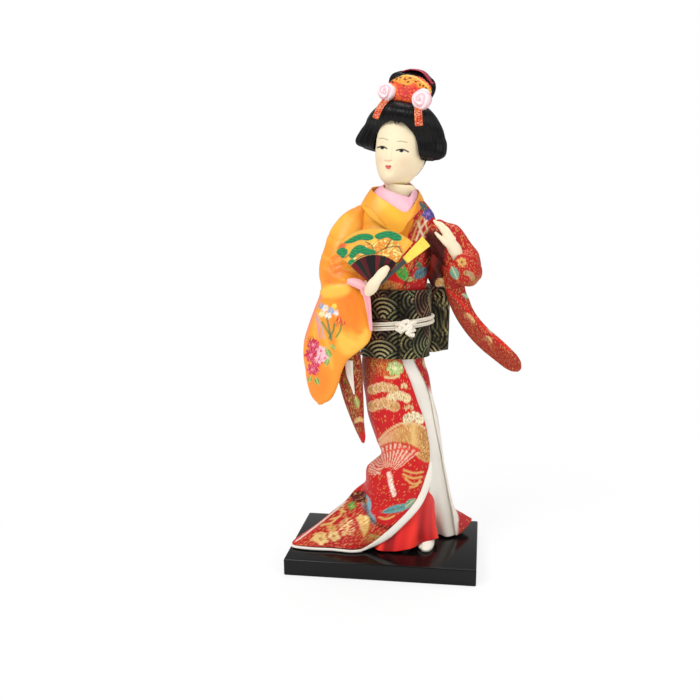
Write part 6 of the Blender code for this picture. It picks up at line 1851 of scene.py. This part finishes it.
    def ornaments(self) -> None:
        """Dark ribbon, dappled hair cloth, two wound roses and the ribbons under them."""
        grid = rounded(rings(self.place(run([(-5.0, 3.0, 34.8), (-1, 3.2, 36.0), (4.4, 3.2, 35.6),
                                             (9.8, 3.6, 31.4)], 70)),
                             (0.17, -0.12, 1), 3.1, 0.5, 28))
        paint = Paint(*seen(grid), "#a3213f", 97)
        paint.lay((np.sin(grid[..., 1] * 4) > 0.2) * 0.5, "#6d1234")
        piece = make_mesh("bun_ribbon", grid, paint=paint)
        place_piece(piece, SATIN, "knot_ribbon", "knot_ribbon")
        grid = rounded(self.place(self.loft(((21.5, -7.4, 8.8, -6.2, 2), (24, -9.6, 11.4, -6.6, 1.6),
                                             (27, -9.9, 12, -5.8, 1),
                                             (30, -8.4, 10.8, -4.8, 0.6), (32.4, -4.6, 6.8, -3.2, 0.2)),
                                            110, 260)))
        out = outward(grid)
        px, py = seen(grid)
        dapple = np.sin(px * 0.9 + 2.1 * np.sin(py * 0.55)) * np.sin(py * 1.0 + 1.9 * np.sin(px * 0.48))
        paint = Paint(px, py, "#e4502a", 98)
        paint.draw(CLOTH_PATCHES)
        paint.lay((dapple > 0.5) * 0.5, "#f3863a", 0.2)
        paint.lay((dapple < -0.55) * 0.6, "#b8141c", 0.1)
        for k, (x, y) in enumerate(((396.9, 78.9), (404.9, 79.2), (410.4, 78.0), (420.0, 85.0),
                                    (423.4, 85.8), (426.6, 88), (404.0, 85.6), (392.4, 82.0), (400.6, 77.4),
                                    (408.0, 82.0), (415.6, 81.6))):
            paint.lay(paint.disc(x, y, 1.5, 0.9, 35 * (k % 4) - 40, 0.6) * 0.9, "#3a1c10")
        paint.lay(paint.stroke([(388, 82), (394, 77), (402, 75.4), (411, 75.8), (420, 80), (428, 87.5),
                                (431, 92)], 1.7), "#ecc45c", 0.9)
        piece = make_mesh("dappled_hair_cloth", grid + out * (0.12 * dapple)[..., None], paint=paint)
        place_piece(piece, BROCADE, "hair_cloth", "hair_cloth")
        for side, (x, y, z), size in (("right", (-8.2, -6.4, 24.6), 4.1), ("left", (9.8, -6.6, 23.4), 4.6)):
            place_piece(self.rose(side, x, y, z, size), SATIN, "rose", f"rose_{side}")
        for side, path, wide in RIBBONS:
            grid = rounded(rings(self.place(run(path, 70)), (-0.3 if side == "right" else 0.1, -1, 0.3),
                                 wide, 0.3, 24))
            paint = Paint(*seen(grid), "#c4201a", 99)
            paint.strew(0.25, "#e0a040", 0.8)
            paint.strew(0.07, "#f8f0e0")
            piece = make_mesh(f"hair_ribbon_{side}_cloth", grid, paint=paint)
            place_piece(piece, BROCADE, "hair_ribbon", f"hair_ribbon_{side}")

    def rose(self, side: str, x: float, y: float, z: float, size: float) -> bpy.types.Object:
        """Rose wound from a pale ribbon: a ball whose front is grooved in a spiral.

        Args:
            side: Which rose.
            x: Centre across, in the head's frame.
            y: Centre in depth.
            z: Centre in height.
            size: Its radius.

        Returns:
            The rose as an object.
        """
        outline = ((0.02, -0.86), (0.35, -0.82), (0.72, -0.66), (0.98, -0.2), (0.94, 0.25), (0.55, 0.5))
        grid = ovals([(x, y + size * deep, z) for _, deep in outline],
                     [(size * wide, 0, 0) for wide, _ in outline],
                     [(0, 0, size * wide) for wide, _ in outline], 120, 150)
        far = np.hypot(grid[..., 0] - x, grid[..., 2] - z) / size
        turn = np.arctan2(grid[..., 2] - z, grid[..., 0] - x)
        coil = np.cos(turn + far * 14 + 0.9 * np.sin(turn * 3 + far * 4) + (0.0 if side == "right" else 2.0))
        grid = grid + outward(grid) * (0.34 * coil * np.clip(1.2 - far * 0.4, 0, 1))[..., None]
        paint = Paint(far, turn, "#fae0e4", 100)
        # painted shade in the spiral's grooves and painted highlights on its ridges
        paint.lay(np.clip(-coil - 0.1, 0, 1) * 0.75, "#eda9b4")
        paint.lay(np.clip(coil - 0.4, 0, 1) * 0.6, "#fff2f2")
        return make_mesh(f"wound_rose_{side}", self.place(grid), paint=paint)


@dataclass
class Inside:
    """Socks under the hems, and the wires and pressed core that carry the cloth."""

    ground: float = GROUND

    def build(self) -> None:
        """Model the socks and dress what stays hidden."""
        for side, fx, fy in (("right", 9.0, -0.5), ("left", 20.5, -2.0)):
            g = self.ground
            table = ((fx + 0.3, fy - 1.2, g, 4.3, 0.4, -1.1, 11.0),
                     (fx + 0.3, fy - 1.2, g + 1.6, 4.7, 0.4, -1.1, 11.6),
                     (fx, fy + 0.2, g + 3.4, 4.1, 0.3, -0.9, 9.4),
                     (fx - 0.5, fy + 3.2, g + 6, 3.7, 0, -0.4, 5.6),
                     (fx - 0.8, fy + 4.6, g + 10, 3.3, 0, 0, 3.9),
                     (fx - 0.8, fy + 4.8, g + 18, 3.4, 0, 0, 3.6))
            grid = ovals([r[:3] for r in table], [(r[3], r[4], 0) for r in table],
                         [(r[5], r[6], 0) for r in table], 70, 90)
            split = np.exp(-((grid[..., 0] - fx + 1.4) / 0.5) ** 2) * np.clip((fy - 6 - grid[..., 1]) / 4,
                                                                              0, 1)
            grid = grid - outward(grid) * (0.5 * split)[..., None]
            grid[..., 2] = np.maximum(grid[..., 2], g)
            place_piece(make_mesh(f"sock_{side}", grid), COTTON, "sock", f"foot_{side}")
        for node, finish in (("body_core", FOAM), ("leg_wire_left", STEEL_WIRE),
                             ("leg_wire_right", STEEL_WIRE),
                             ("arm_wire_left", STEEL_WIRE), ("arm_wire_right", STEEL_WIRE)):
            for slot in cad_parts[node].material_slots:
                slot.material = finish.material()
            LOG.info("%s: %s", node, finish.name)


@dataclass
class Studio:
    """Pale floor, soft lights and the camera at the picture's viewing point."""

    floor: float = 3.0

    def build(self) -> None:
        """Set the floor, the lights, the world and the camera."""
        bpy.ops.object.select_all(action="DESELECT")
        bpy.ops.mesh.primitive_plane_add(size=self.floor, location=(0, 0, 0))
        floor = bpy.context.object
        floor.name = "pale_floor"
        floor.data.materials.append(self.paper())
        self.room()
        for name, place, size, power in (("key", (-0.55, -0.75, 0.95), 0.55, 9.0),
                                         ("fill", (0.8, -0.6, 0.6), 0.7, 4.0),
                                         ("top", (0.1, 0.3, 1.1), 0.6, 5.0)):
            lamp = bpy.data.lights.new(name, "AREA")
            lamp.shape, lamp.size, lamp.energy = "SQUARE", size, power
            made = bpy.data.objects.new(name, lamp)
            made.location = place
            aim = np.array((0.0, 0.0, 0.12)) - np.array(place)
            made.rotation_euler = (math.atan2(math.hypot(aim[0], aim[1]), -aim[2]), 0,
                                   math.atan2(-aim[0], aim[1]))
            bpy.context.scene.collection.objects.link(made)
        lens = bpy.data.cameras.new("viewpoint")
        lens.sensor_width, lens.lens = 36.0, 36.0 * FOCAL / 700
        lens.shift_x, lens.shift_y = (350 - MIDDLE[0]) / 700, (MIDDLE[1] - 350) / 700
        camera = bpy.data.objects.new("viewpoint", lens)
        camera.location = EYE * MM
        camera.rotation_euler = (math.pi / 2 - EYE_FALL, 0, EYE_TURN)
        bpy.context.scene.collection.objects.link(camera)
        bpy.context.scene.camera = camera
        bpy.context.scene.view_settings.view_transform = "Standard"

    def paper(self) -> bpy.types.Material:
        """Pale floor paper, which the camera sees as near white and which keeps the shadow."""
        made = bpy.data.materials.new("pale_paper")
        made.use_nodes = True
        tree = made.node_tree
        shader = tree.nodes["Principled BSDF"]
        for socket, value in (("Base Color", (0.9, 0.9, 0.9, 1)), ("Roughness", 0.85),
                              ("Specular IOR Level", 0.0)):
            shader.inputs[socket].default_value = value
        # near the object the paper keeps its shade; further out it runs into the white room
        where = add_node(tree, "TexCoord").outputs["Object"]
        far = add_node(tree, "VectorMath", {"operation": "LENGTH"}, {0: where}).outputs["Value"]
        fade = add_node(tree, "MapRange", {"From Min": 0.06, "From Max": 0.22, "To Min": 0.78,
                                           "To Max": 1.0},
                        {"Value": far}).outputs[0]
        direct = add_node(tree, "LightPath").outputs["Is Camera Ray"]
        share = add_node(tree, "Math", {"operation": "MULTIPLY"}, {0: direct, 1: fade}).outputs[0]
        glow = add_node(tree, "Emission").outputs[0]
        mix = add_node(tree, "MixShader", links={0: share, 1: shader.outputs[0], 2: glow})
        tree.links.new(mix.outputs[0], tree.nodes["Material Output"].inputs[0])
        return made

    def room(self) -> None:
        """Even light from all round, seen as white."""
        world = bpy.data.worlds.new("soft_room")
        bpy.context.scene.world = world
        world.use_nodes = True
        tree = world.node_tree
        even = tree.nodes["Background"]
        even.inputs["Color"].default_value = (1, 1, 1, 1)
        even.inputs["Strength"].default_value = 0.4
        white = add_node(tree, "Background", {"Color": (1, 1, 1, 1)}).outputs[0]
        direct = add_node(tree, "LightPath").outputs["Is Camera Ray"]
        mix = add_node(tree, "MixShader", links={0: direct, 1: even.outputs[0], 2: white})
        tree.links.new(mix.outputs[0], tree.nodes["World Output"].inputs[0])


def main() -> None:
    """Build the sub-assemblies in order, then the studio."""
    logging.basicConfig(level=logging.INFO, format="%(name)s %(message)s")
    for part in (Board(), Inside(), Skirt(), Bodice(), Sash(), Sleeves(), Hands(), Fan(), Head(), Studio()):
        part.build()


if __name__ == "__main__":
    main()
